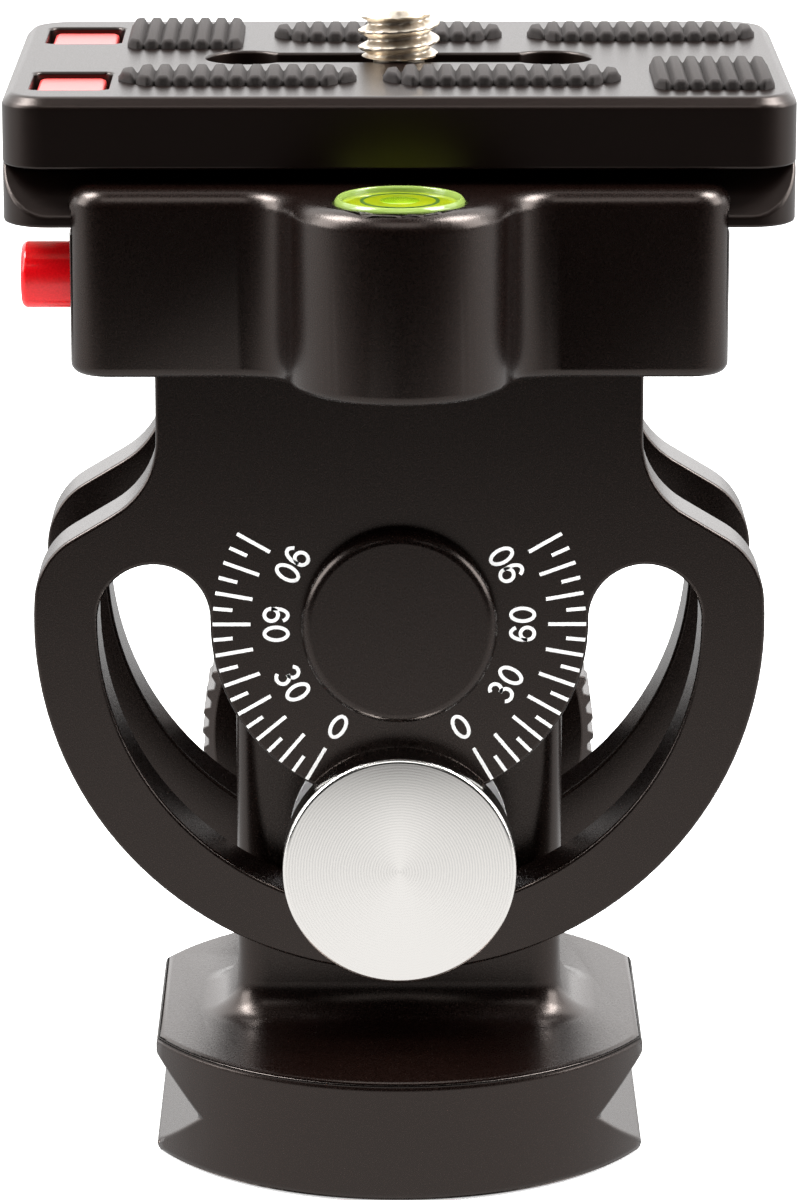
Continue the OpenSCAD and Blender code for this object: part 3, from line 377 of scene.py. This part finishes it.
def softened(node, width, material, body, limit_deg=30, segments=2, merge=MERGE):
    """A copy of a node whose edges are rounded where they turn by more than limit_deg.
    width is the round's width and points closer than merge become one, both in millimetres.
    Faces that differ by less than FLAT_DEG are joined. The copy stands for the node."""
    mesh = nodes[node].data.copy()
    mesh.name = node + "_soft"
    for layer in ("custom_normal", "sharp_edge", "sharp_face"):
        if layer in mesh.attributes:
            mesh.attributes.remove(mesh.attributes[layer])
    bm = bmesh.new()
    bm.from_mesh(mesh)
    bmesh.ops.remove_doubles(bm, verts=bm.verts, dist=merge * MM)
    bmesh.ops.dissolve_limit(bm, angle_limit=np.radians(FLAT_DEG), verts=bm.verts, edges=bm.edges)
    bm.to_mesh(mesh)
    bm.free()
    mesh.polygons.foreach_set("use_smooth", np.ones(len(mesh.polygons), bool))
    mesh.materials.clear()
    mesh.materials.append(material)
    piece = bpy.data.objects.new(node + "_soft", mesh)
    bpy.context.scene.collection.objects.link(piece)
    bevel = piece.modifiers.new("edges", "BEVEL")
    bevel.width = width * MM
    bevel.segments = segments
    bevel.limit_method = "ANGLE"
    bevel.angle_limit = np.radians(limit_deg)
    bevel.use_clamp_overlap = False
    bevel.harden_normals = True
    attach(piece, body)
    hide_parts(node)
    print(piece.name, "faces:", len(mesh.polygons))
    return piece


softened("base_post", 0.3, black, "base")
softened("yoke", 0.3, black, "head")
softened("clamp_body", 0.4, black, "head", segments=3, merge=0.03)
softened("clamp_jaw", 0.3, black, "clamp_jaw")
softened("camera_plate", 0.25, plate_black, "camera_plate")
softened("pivot_cap_front", 0.3, black, "head")
softened("pivot_cap_rear", 0.3, black, "head")
softened("safety_button", 0.15, red, "safety_button")
softened("catch_front", 0.35, catch_red_painted_sheen, "catch_front")
softened("catch_rear", 0.35, catch_red_painted_sheen, "catch_rear")

# %% [markdown]
# The two knobs have their teeth already. A tooth that fingers have to turn has no knife edge
# either, so they are treated in the same way with a finer round, and so are the caps that close
# them.

# %% Knobs
softened("lock_knob", 0.12, black, "lock_knob", limit_deg=24)
softened("clamp_knob", 0.1, black, "clamp_knob", limit_deg=24)
softened("lock_knob_cap", 0.2, black, "lock_knob")
softened("clamp_knob_cap", 0.2, black, "clamp_knob")

# %% [markdown]
# ## Lock bolt
# The plain disc in front is the head of the bolt that clamps the two legs. It was turned in one
# piece with its shoulder and shank, so one profile carried round the bolt's axis is the whole
# piece. Its rim has a flat chamfer that shows as a bright line.

# %% Turned disc
DISC_FACE_R, DISC_R, SHOULDER_R, SHANK_R = 8.95, 9.175, 4.2, 3
DISC_FRONT, CHAMFER_END, DISC_BACK, SHOULDER_END, SHANK_END = -15.45, -15.22, -12.05, -6.4, 27.8
BOLT_EDGE = 0.12
bolt_corners = [
    (0, DISC_FRONT), (DISC_FACE_R, DISC_FRONT), (DISC_R, CHAMFER_END), (DISC_R, DISC_BACK),
    (SHOULDER_R, DISC_BACK), (SHOULDER_R, SHOULDER_END), (SHANK_R, SHOULDER_END),
    (SHANK_R, SHANK_END), (0, SHANK_END),
]
bolt = turned(eased(bolt_corners, BOLT_EDGE), "y", (LOCK_Z, 0), columns=160)
new_piece("lock_disc", *bolt, turned_steel, "base", "stainless", ["lock_bolt"], sharp_deg=50)

# %% [markdown]
# ## Threads
# A thread is a lathe surface whose radius also depends on the angle: going once round moves the
# tooth on by one pitch. The tooth is a wedge with a small flat on its crest and its root. An inner
# thread has the same formula with the tooth pointing inwards. Sweeping a wedge along a helix would
# work too, but it leaves an open seam where the wedge runs out.


# %% Thread surfaces
STEEPNESS, ROOT_CUT = 1.45, 0.25


def tooth(height, angle, pitch):
    """0 at the root and 1 at the crest: a triangle wave of height over pitch less angle over a
    full turn, made steeper and cut off at both ends to leave flats."""
    phase = (height / pitch - angle / (2 * np.pi)) % 1
    return np.clip(STEEPNESS * (1 - 2 * np.abs(phase - 0.5)) - ROOT_CUT, 0, 1)


def fine_heights(start, end, pitch, per_turn=18):
    """Heights from start to end in equal steps, about per_turn of them to a pitch."""
    return np.linspace(start, end, int(per_turn * (end - start) / pitch) + 1)


# %% Camera screw
CREST, ROOT, PITCH = 3.175, 2.42, 1.27
SCREW_FOOT, SCREW_TOP = 86.95, 90.8
FOOT_R, FOOT_RUN, TIP_R, TIP_SLOPE = 2.75, 0.7, 2.5, 1.1
screw_heights = fine_heights(SCREW_FOOT, SCREW_TOP, PITCH)
run_out = FOOT_R + (screw_heights - SCREW_FOOT) / FOOT_RUN
lead_in = TIP_R + (SCREW_TOP - screw_heights) * TIP_SLOPE
screw_radii = np.minimum(CREST, np.minimum(run_out, lead_in))
screw_profile = np.concatenate(
    [[(0, SCREW_FOOT)], np.column_stack([screw_radii, screw_heights]), [(0, SCREW_TOP)]]
)


def screw_radius(r, h, t):
    """The tooth between root and crest, or the profile's own radius where that is smaller."""
    return np.minimum(r, ROOT + (CREST - ROOT) * tooth(h, t, PITCH))


screw = turned(screw_profile, "z", (0, 0), radius=screw_radius)
new_piece("camera_thread", *screw, steel, "camera_screw", "stainless", sharp_deg=40)

# %% [markdown]
# Below its thread the camera screw has a thin neck, so that it can't fall out of the plate, and a
# wide head with a slot for a coin. These keep the solid's shape: a copy of it is cut off at the
# neck and closed there.


# %% Screw head
NECK_CUT = 86.97


def cut_copy(name, node, height, material, body, slot):
    """The part of a node below a height in millimetres, with the cut closed.
    It stands for the node."""
    mesh = nodes[node].data.copy()
    bm = bmesh.new()
    bm.from_mesh(mesh)
    bmesh.ops.remove_doubles(bm, verts=bm.verts, dist=MERGE * MM)
    everything = bm.verts[:] + bm.edges[:] + bm.faces[:]
    cut = (0, 0, height * MM)
    bmesh.ops.bisect_plane(bm, geom=everything, plane_co=cut, plane_no=(0, 0, 1), clear_outer=True)
    rim = [edge for edge in bm.edges if edge.is_boundary]
    bmesh.ops.holes_fill(bm, edges=rim, sides=len(rim))
    bmesh.ops.triangulate(bm, faces=bm.faces)
    bm.verts.index_update()
    points = np.array([v.co[:] for v in bm.verts]) / MM
    faces = np.array([[v.index for v in face.verts] for face in bm.faces])
    bm.free()
    bpy.data.meshes.remove(mesh)
    return new_piece(name, points, faces, material, body, slot, [node])


cut_copy("camera_screw_head", "camera_screw", NECK_CUT, steel, "camera_screw", "stainless")

# %% [markdown]
# The insert in the base takes the stud of a monopod. It is seen only from below, where its thread
# starts behind a small chamfer.

# %% Stand thread
STAND_CREST, STAND_ROOT, STAND_PITCH = 4.0, 4.75, 1.5875
INSERT_R, INSERT_TOP, MOUTH_R, MOUTH_SLOPE = 6.2, 9.0, 5.1, 1.2
stand_heights = fine_heights(0.0, INSERT_TOP, STAND_PITCH, 14)
end_gap = np.minimum(stand_heights, INSERT_TOP - stand_heights)
mouth = np.clip(MOUTH_R - MOUTH_SLOPE * end_gap, STAND_CREST, MOUTH_R)
stand_profile = np.concatenate(
    [[(INSERT_R, INSERT_TOP), (INSERT_R, 0.0)], np.column_stack([mouth, stand_heights])]
)


def stand_radius(r, h, t):
    """The outer wall as it is; inside it the tooth, or the mouth's radius where that is larger."""
    thread = STAND_ROOT - (STAND_ROOT - STAND_CREST) * tooth(h, t, STAND_PITCH)
    return np.where(r > MOUTH_R, r, np.maximum(r, thread))


stand = turned(stand_profile, "z", (0, 0), radius=stand_radius, closed=True)
new_piece("stand_thread", *stand, steel, "base", "stainless", ["thread_insert"], sharp_deg=40)

# %% [markdown]
# ## Rubber pads
# Six ribbed pads stop a camera from turning on the plate. Each pad is one moulding: a rounded
# section carried along it, whose height goes up and down with the ribs and whose sides go in a
# little between them, so that the edge is scalloped. An array of boxes would show hard gaps.

# %% Ribbed pads
PAD_FOOT, PAD_HEIGHT, PAD_WEB, RIB = 86.8, 0.8, 0.3, 1.35
RIB_STEPS, RIB_FLANK, SCALLOP, PAD_ROUND, PAD_SUNK = 12, 0.62, 0.34, 0.3, 0.05


def ribbed_pad(start, end, middle, half, corner):
    """A section with two rounded upper corners, swept along X.
    At each x the rib's own coordinate q goes from -1 to 1. The height is the web's plus a smooth
    step of 1 - |q|. The half width is the pad's, less the cut corner and a scallop of |q| cubed."""
    ribs = int(round((end - start) / RIB))
    x = np.linspace(start, end, ribs * RIB_STEPS + 1)
    q = 2 * (((x - start) / (end - start) * ribs) % 1) - 1
    rise = np.clip((1 - np.abs(q)) / RIB_FLANK, 0, 1)
    height = PAD_WEB + (PAD_HEIGHT - PAD_WEB) * rise**2 * (3 - 2 * rise)
    to_end = np.minimum(x - start, end - x)
    width = half - np.clip(corner - to_end, 0, corner) - SCALLOP * np.abs(q) ** 3
    bend = np.linspace(0, np.pi / 2, 5)
    inset = PAD_ROUND * (1 - np.concatenate([[1], np.cos(bend), np.cos(bend[::-1]), [1]]))
    drop = PAD_ROUND * (1 - np.concatenate([[0], np.sin(bend), np.sin(bend[::-1]), [0]]))
    columns = len(inset)
    side = np.repeat([-1.0, 1.0], columns // 2)
    points = np.zeros((len(x), columns, 3))
    points[..., 0] = x[:, None]
    points[..., 1] = middle + side * (width[:, None] - inset)
    points[..., 2] = PAD_FOOT + np.maximum(height[:, None] - drop, -PAD_SUNK)
    points[:, [0, -1], 2] = PAD_FOOT - PAD_SUNK
    ends = points[[0, -1]].mean(axis=1, keepdims=True) + 0 * points[[0, -1]]
    points = np.concatenate([ends[:1], points, ends[1:]])
    return points, grid_faces(len(points), columns)


PAD_ROW = [
    (-21.4, -12.3, 9.7, 5.7, 0.8),
    (-9.9, 8.25, 10.6, 2.85, 2.2),
    (10.25, 28.4, 10.6, 2.85, 2.2),
]
ROW_SUM = 7.0  # an x of the rear row and its x in the front row, turned end for end, add up to this
rear_row = [ribbed_pad(*pad) for pad in PAD_ROW]
front_row = [
    ribbed_pad(ROW_SUM - end, ROW_SUM - start, -middle, half, corner)
    for start, end, middle, half, corner in PAD_ROW
]
pads = joined(rear_row + front_row)
new_piece("pads", *pads, rubber, "camera_plate", "rubber", ["grip_pads"], sharp_deg=60)

# %% [markdown]
# ## Dial
# The tilt is read on marks printed on the front leg: a tick every five degrees, longer every ten,
# and plain numbers at every thirtieth degree on both sides. A mark is a stroke: a path on the
# leg's face, widened to both sides and raised by about a hundredth of a millimetre. A font would do
# for the numbers, but strokes keep the even line of an engraver's pantograph.

# %% Strokes
PIVOT_Z, DIAL_FACE, PROUD, SUNK, LINE = 44.2, -12.0, 0.015, 0.05, 0.29


def stroke(path):
    """A strip of LINE's width along a path of (x, z) points.
    Each point moves half the width to both sides along the path's normal, just in front of the
    face and just behind it. The ends are closed."""
    path = np.asarray(path, float)
    along = np.gradient(path, axis=0)
    along = along / np.linalg.norm(along, axis=1, keepdims=True)
    aside = np.column_stack([-along[:, 1], along[:, 0]]) * LINE / 2
    points = np.zeros((len(path), 4, 3))
    points[:, [0, 3]] += np.insert(path + aside, 1, 0, axis=1)[:, None]
    points[:, [1, 2]] += np.insert(path - aside, 1, 0, axis=1)[:, None]
    points[:, :2, 1] = DIAL_FACE - PROUD
    points[:, 2:, 1] = DIAL_FACE + SUNK
    last = 4 * len(path) - 4
    ends = [[3, 2, 1, 0], [last, last + 1, last + 2, last + 3]]
    return points, np.concatenate([grid_faces(len(path), 4), ends])


def dial_point(angle, radius):
    """The (x, z) place at an angle in degrees from straight down and a distance from the pivot."""
    a = np.radians(angle)
    return np.array([radius * np.sin(a), PIVOT_Z - radius * np.cos(a)])


# %% Numbers
def arc(centre, half, start, end, count=24):
    """Part of an ellipse from one angle to another, in degrees."""
    a = np.radians(np.linspace(start, end, count))
    return np.column_stack([centre[0] + half[0] * np.cos(a), centre[1] + half[1] * np.sin(a)])


FIGURE_WIDTH = 0.62
SIX = np.concatenate(
    [arc((0.33, 0.5), (0.28, 0.48), 35, 180), arc((0.31, 0.3), (0.26, 0.28), 180, 540, 40)[1:]]
)
FIGURES = {
    "0": [arc((0.31, 0.5), (0.27, 0.48), 0, 360, 49)],
    "3": [arc((0.28, 0.74), (0.23, 0.24), 150, -95), arc((0.28, 0.26), (0.27, 0.26), 95, -155)],
    "6": [SIX],
    "9": [np.array([FIGURE_WIDTH, 1.0]) - SIX],
}


def number(text, angle, radius=9.6, tall=1.9, advance=0.8):
    """Strokes of a number whose figures stand towards the pivot, side by side.
    Their middle is at the angle and the radius. Figures are drawn one unit tall, then scaled."""
    up = np.array([0, PIVOT_Z]) - dial_point(angle, radius)
    up = up / np.linalg.norm(up)
    right = np.array([up[1], -up[0]])
    shift = -(advance * (len(text) - 1) + FIGURE_WIDTH) / 2
    strokes = []
    for place, figure in enumerate(text):
        for path in FIGURES[figure]:
            path = (path + np.array([shift + advance * place, -0.5])) * tall
            path = dial_point(angle, radius) + path[:, :1] * right + path[:, 1:] * up
            strokes.append(stroke(path))
    return strokes


# %% Dial marks
TICK_R, LONG_TICK, SHORT_TICK = 14.55, 2.95, 1.5
marks = []
for side in (-1, 1):
    for angle in range(30, 121, 5):
        tick_end = TICK_R - (LONG_TICK if angle % 10 == 0 else SHORT_TICK)
        marks.append(stroke([dial_point(side * angle, r) for r in (TICK_R, tick_end)]))
    for text, angle in (("0", 30), ("30", 60), ("60", 90), ("90", 120)):
        marks.extend(number(text, side * angle))
new_piece("dial_marks", *joined(marks), print_white, "head", None)

# %% [markdown]
# ## Level
# A round level sits in the clamp's boss: a cup, a bright liquid that bulges a little under its
# lid, a ring that the bubble is brought inside, and the bubble. All of these are turned.

# %% Level parts
LEVEL = (0.0, -25.425)
wall = [
    (4.4, 76.0), (4.4, 80.35), (4.5, 80.5), (4.65, 80.5), (4.85, 80.25),
    (4.85, 74.6), (0, 74.6), (0, 75.35), (4.4, 75.35), (4.4, 76.0),
]
cup = turned(eased(wall, 0.08), "z", LEVEL)
new_piece("level_wall", *cup, acrylic, "head", "level_body", ["level_cup"])
filling = [(0, 75.36), (4.38, 75.36), (4.38, 80.1), (3.6, 80.18), (1.8, 80.24), (0, 80.25)]
fluid = turned(eased(filling, 0.1), "z", LEVEL)
new_piece("level_liquid", *fluid, liquid, "head", "level_liquid", ["level_fluid"])
ring = [(2.7, 80.15), (2.95, 80.15), (2.95, 80.24), (2.7, 80.24), (2.7, 80.15)]
new_piece("level_ring", *turned(ring, "z", LEVEL), ring_green, "head", None)
BUBBLE_R, BUBBLE_RISE, BUBBLE_Z, BUBBLE_FOOT = 1.5, 0.14, 80.22, 80.2
s = np.linspace(0, np.pi / 2, 12)[:, None]
dome = np.column_stack([BUBBLE_R * np.sin(s), BUBBLE_Z + BUBBLE_RISE * np.cos(s)])
bubble = turned(np.concatenate([dome, [(0, BUBBLE_FOOT)]]), "z", LEVEL)
new_piece("level_air_bubble", *bubble, air, "head", "level_air", ["level_bubble"])

# %% [markdown]
# ## Springs
# The solids hold each spring's room as a plain tube. The real ones are wound wire: a round section
# carried along a coil whose end turns lie flat. Each coil is made where it sits and stays fixed
# there.


# %% Wound springs
TURN_STEPS, WIRE_SIDES, FLAT_TURNS = 40, 10, 0.75


def coil(axis, centre, half, wire, start, end, turns, power=2.0):
    """A wire wound round an axis from start to end.
    Its path is an ellipse of the given half sizes, or with a higher power a rectangle with round
    corners. FLAT_TURNS turns at each end rise by nothing, and the ones between rise evenly."""
    count = int(turns * TURN_STEPS)
    a = np.linspace(0, 2 * np.pi * turns, count)
    direction = 1 if end > start else -1
    rise = np.clip((np.linspace(0, turns, count) - FLAT_TURNS) / (turns - 2 * FLAT_TURNS), 0, 1)
    across, up, along = AXES[axis]
    path = np.zeros((count, 3))
    path[:, across] = centre[0] + half[0] * np.sign(np.cos(a)) * np.abs(np.cos(a)) ** (2 / power)
    path[:, up] = centre[1] + half[1] * np.sign(np.sin(a)) * np.abs(np.sin(a)) ** (2 / power)
    path[:, along] = start + direction * wire / 2 + (end - start - direction * wire) * rise
    ahead = np.gradient(path, axis=0)
    ahead /= np.linalg.norm(ahead, axis=1, keepdims=True)
    upright = np.zeros((1, 3))
    upright[0, along] = 1
    out = np.cross(ahead, upright)
    out /= np.linalg.norm(out, axis=1, keepdims=True)
    over = np.cross(out, ahead)
    t = np.linspace(0, 2 * np.pi, WIRE_SIDES, endpoint=False)[None, :, None]
    points = path[:, None] + wire / 2 * (np.cos(t) * out[:, None] + np.sin(t) * over[:, None])
    first_end, last_end = path[:1, None] + 0 * points[:1], path[-1:, None] + 0 * points[-1:]
    points = np.concatenate([first_end, points, last_end])
    return points, grid_faces(len(points), WIRE_SIDES)


def spring(name, coils, fixed, moving, node, start, end):
    """A spring piece made of the coils where they are, standing for the node; it rides on no body.
    fixed, moving, start and end are not used."""
    piece = new_piece(name, *joined(coils), steel, None, "stainless", [node])
    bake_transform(piece)


# %% Springs in place
JAW_X, JAW_Z, JAW_SPAN = 19.5, 71.325, (7.55, 13.25)
jaw_coils = [coil("y", (JAW_Z, x), (2.6, 2.6), 0.7, *JAW_SPAN, 5.5) for x in (-JAW_X, JAW_X)]
jaw_ends = [(0, y, JAW_Z) for y in JAW_SPAN]
spring("jaw_coils", jaw_coils, "head", "clamp_jaw", "jaw_springs", *jaw_ends)

BUTTON_Y, BUTTON_Z, BUTTON_SPAN = -12.0, 72.0, (-12.45, -16.85)
button_coil = [coil("x", (BUTTON_Y, BUTTON_Z), (2.15, 2.15), 0.7, *BUTTON_SPAN, 4.5)]
button_ends = [(x, BUTTON_Y, BUTTON_Z) for x in BUTTON_SPAN]
spring("button_coil", button_coil, "head", "safety_button", "button_spring", *button_ends)

PIN_X, PIN_Y, PIN_SPAN = -10.0, -12.0, (67.05, 69.55)
pin_coil = [coil("z", (PIN_X, PIN_Y), (1.6, 1.6), 0.5, *PIN_SPAN, 4)]
pin_ends = [(PIN_X, PIN_Y, z) for z in PIN_SPAN]
spring("pin_coil", pin_coil, "head", "safety_pin", "safety_pin_spring", *pin_ends)

CATCH_X, CATCH_SPAN = -25.0, (82.15, 79.5)
for place, y in (("front", -11), ("rear", 11)):
    catch_coil = [coil("z", (CATCH_X, y), (3.0, 4.1), 0.4, *CATCH_SPAN, 4, power=5.0)]
    catch_ends = [(CATCH_X, y, z) for z in CATCH_SPAN]
    moving, node = "catch_" + place, "catch_spring_" + place
    spring("catch_coil_" + place, catch_coil, "camera_plate", moving, node, *catch_ends)

# %% [markdown]
# ## Camera, floor and light
# The colours are shown as they are written, so the view transform is Standard. The photograph
# looks down on the dial side by about fifteen degrees through a long lens.

# %% Camera
LENS, SENSOR, NEAREST = 169.4, 36, 0.01
VIEW_FROM, VIEW_DOWN, VIEW_TURN_DEG = (-1.2, -437.1, 157.6), 0.2564, 0.205
bpy.context.scene.view_settings.view_transform = "Standard"
view = bpy.data.cameras.new("view")
view.lens = LENS
view.sensor_width = SENSOR
view.clip_start = NEAREST
camera = bpy.data.objects.new("view", view)
camera.location = [length * MM for length in VIEW_FROM]
camera.rotation_euler = (np.radians(90) - VIEW_DOWN, 0, -np.radians(VIEW_TURN_DEG))
bpy.context.scene.collection.objects.link(camera)
bpy.context.scene.camera = camera
print("camera at", VIEW_FROM, "mm, lens", LENS, "mm")

# %% [markdown]
# The floor is a pale sheet that keeps the soft shadow. Mirrors see it as a white table that ends a
# short way in front of the head, with a dim room beyond, so that the upper fronts stay black, the
# lower ones lift a little, and tops mirror the white backdrop.

# %% Floor
FLOOR_REACH = 3.0
SQUARE = ((-1, -1), (1, -1), (1, 1), (-1, 1))


def mirror_ray(graph, link, path):
    """1 for rays that come from a mirror or through glass, otherwise 0."""
    either = graph.new("ShaderNodeMath")
    either.operation = "MAXIMUM"
    link(path.outputs["Is Glossy Ray"], either.inputs[0])
    link(path.outputs["Is Transmission Ray"], either.inputs[1])
    return either.outputs[0]


floor_mesh = bpy.data.meshes.new("floor")
floor_corners = [(FLOOR_REACH * x, FLOOR_REACH * y, 0) for x, y in SQUARE]
floor_mesh.from_pydata(floor_corners, [], [(0, 1, 2, 3)])
floor = bpy.data.objects.new("floor", floor_mesh)
bpy.context.scene.collection.objects.link(floor)
pale = finish("pale_floor", (0.85, 0.85, 0.85), 0.8)
graph, link, shader = parts_of(pale)
place = graph.new("ShaderNodeTexCoord")
split = graph.new("ShaderNodeSeparateXYZ")
table_edge = graph.new("ShaderNodeMapRange")
table_edge.interpolation_type = "SMOOTHSTEP"
for socket, value in (("From Min", -0.28), ("From Max", -0.12), ("To Min", 0.0), ("To Max", 0.9)):
    table_edge.inputs[socket].default_value = value
link(place.outputs["Object"], split.inputs["Vector"])
link(split.outputs["Y"], table_edge.inputs["Value"])
mirrored = graph.new("ShaderNodeEmission")
link(table_edge.outputs["Result"], mirrored.inputs["Strength"])
lift = graph.new("ShaderNodeEmission")
lift.inputs["Strength"].default_value = 0.6
seen = graph.new("ShaderNodeAddShader")
link(shader.outputs["BSDF"], seen.inputs[0])
link(lift.outputs["Emission"], seen.inputs[1])
path = graph.new("ShaderNodeLightPath")
lifted = graph.new("ShaderNodeMixShader")
link(path.outputs["Is Camera Ray"], lifted.inputs["Fac"])
link(shader.outputs["BSDF"], lifted.inputs[1])
link(seen.outputs["Shader"], lifted.inputs[2])
reflected = graph.new("ShaderNodeMixShader")
link(mirror_ray(graph, link, path), reflected.inputs["Fac"])
link(lifted.outputs["Shader"], reflected.inputs[1])
link(mirrored.outputs["Emission"], reflected.inputs[2])
link(reflected.outputs["Shader"], graph["Material Output"].inputs["Surface"])
floor_mesh.materials.append(pale)
print("floor nodes:", len(graph))

# %% [markdown]
# The room is bright behind the head and dim in front of it, so only what faces up or back mirrors
# white. The camera itself sees an even white beyond the floor.

# %% World
world = bpy.data.worlds.new("studio")
world.use_nodes = True
bpy.context.scene.world = world
graph, link = world.node_tree.nodes, world.node_tree.links.new
direction = graph.new("ShaderNodeTexCoord")
split = graph.new("ShaderNodeSeparateXYZ")
band = graph.new("ShaderNodeMapRange")
band.interpolation_type = "SMOOTHSTEP"
for socket, value in (("From Min", -0.1), ("From Max", 0.5), ("To Min", 0.015), ("To Max", 2.15)):
    band.inputs[socket].default_value = value
link(direction.outputs["Generated"], split.inputs["Vector"])
link(split.outputs["Y"], band.inputs["Value"])
path = graph.new("ShaderNodeLightPath")
strength = graph.new("ShaderNodeMix")
strength.inputs["B"].default_value = 1.0
link(path.outputs["Is Camera Ray"], strength.inputs["Factor"])
link(band.outputs["Result"], strength.inputs["A"])
link(strength.outputs["Result"], graph["Background"].inputs["Strength"])
graph["Background"].inputs["Color"].default_value = (1, 1, 1, 1)
print("world nodes:", len(graph))

# %% [markdown]
# Two soft boxes at the sides draw bright lines on the upright rounds, two above light the tops, and
# a weak one in front keeps the faces from going flat. Small lamps would leave hard glints instead.


# %% Lamps
def soft_box(name, place, aim, width, height, watts):
    """A rectangular lamp at place that points at aim, all in millimetres."""
    lamp = bpy.data.lights.new(name, "AREA")
    lamp.shape = "RECTANGLE"
    lamp.size = width * MM
    lamp.size_y = height * MM
    lamp.energy = watts
    box = bpy.data.objects.new(name, lamp)
    box.location = np.array(place) * MM
    away = Vector((np.array(place) - np.array(aim)) * MM)
    box.rotation_euler = away.to_track_quat("Z", "Y").to_euler()
    bpy.context.scene.collection.objects.link(box)
    print(name, "watts:", watts)


soft_box("left_box", (-540, -60, 330), (0, 0, 55), 300, 420, 2.6)
soft_box("right_box", (540, -60, 330), (0, 0, 55), 300, 420, 2.6)
soft_box("key_box", (0, -430, 600), (0, 0, 60), 500, 260, 0.7)
soft_box("top_left_box", (-390, 0, 590), (0, 0, 60), 260, 260, 5.5)
soft_box("top_right_box", (390, 0, 590), (0, 0, 60), 260, 260, 5.5)
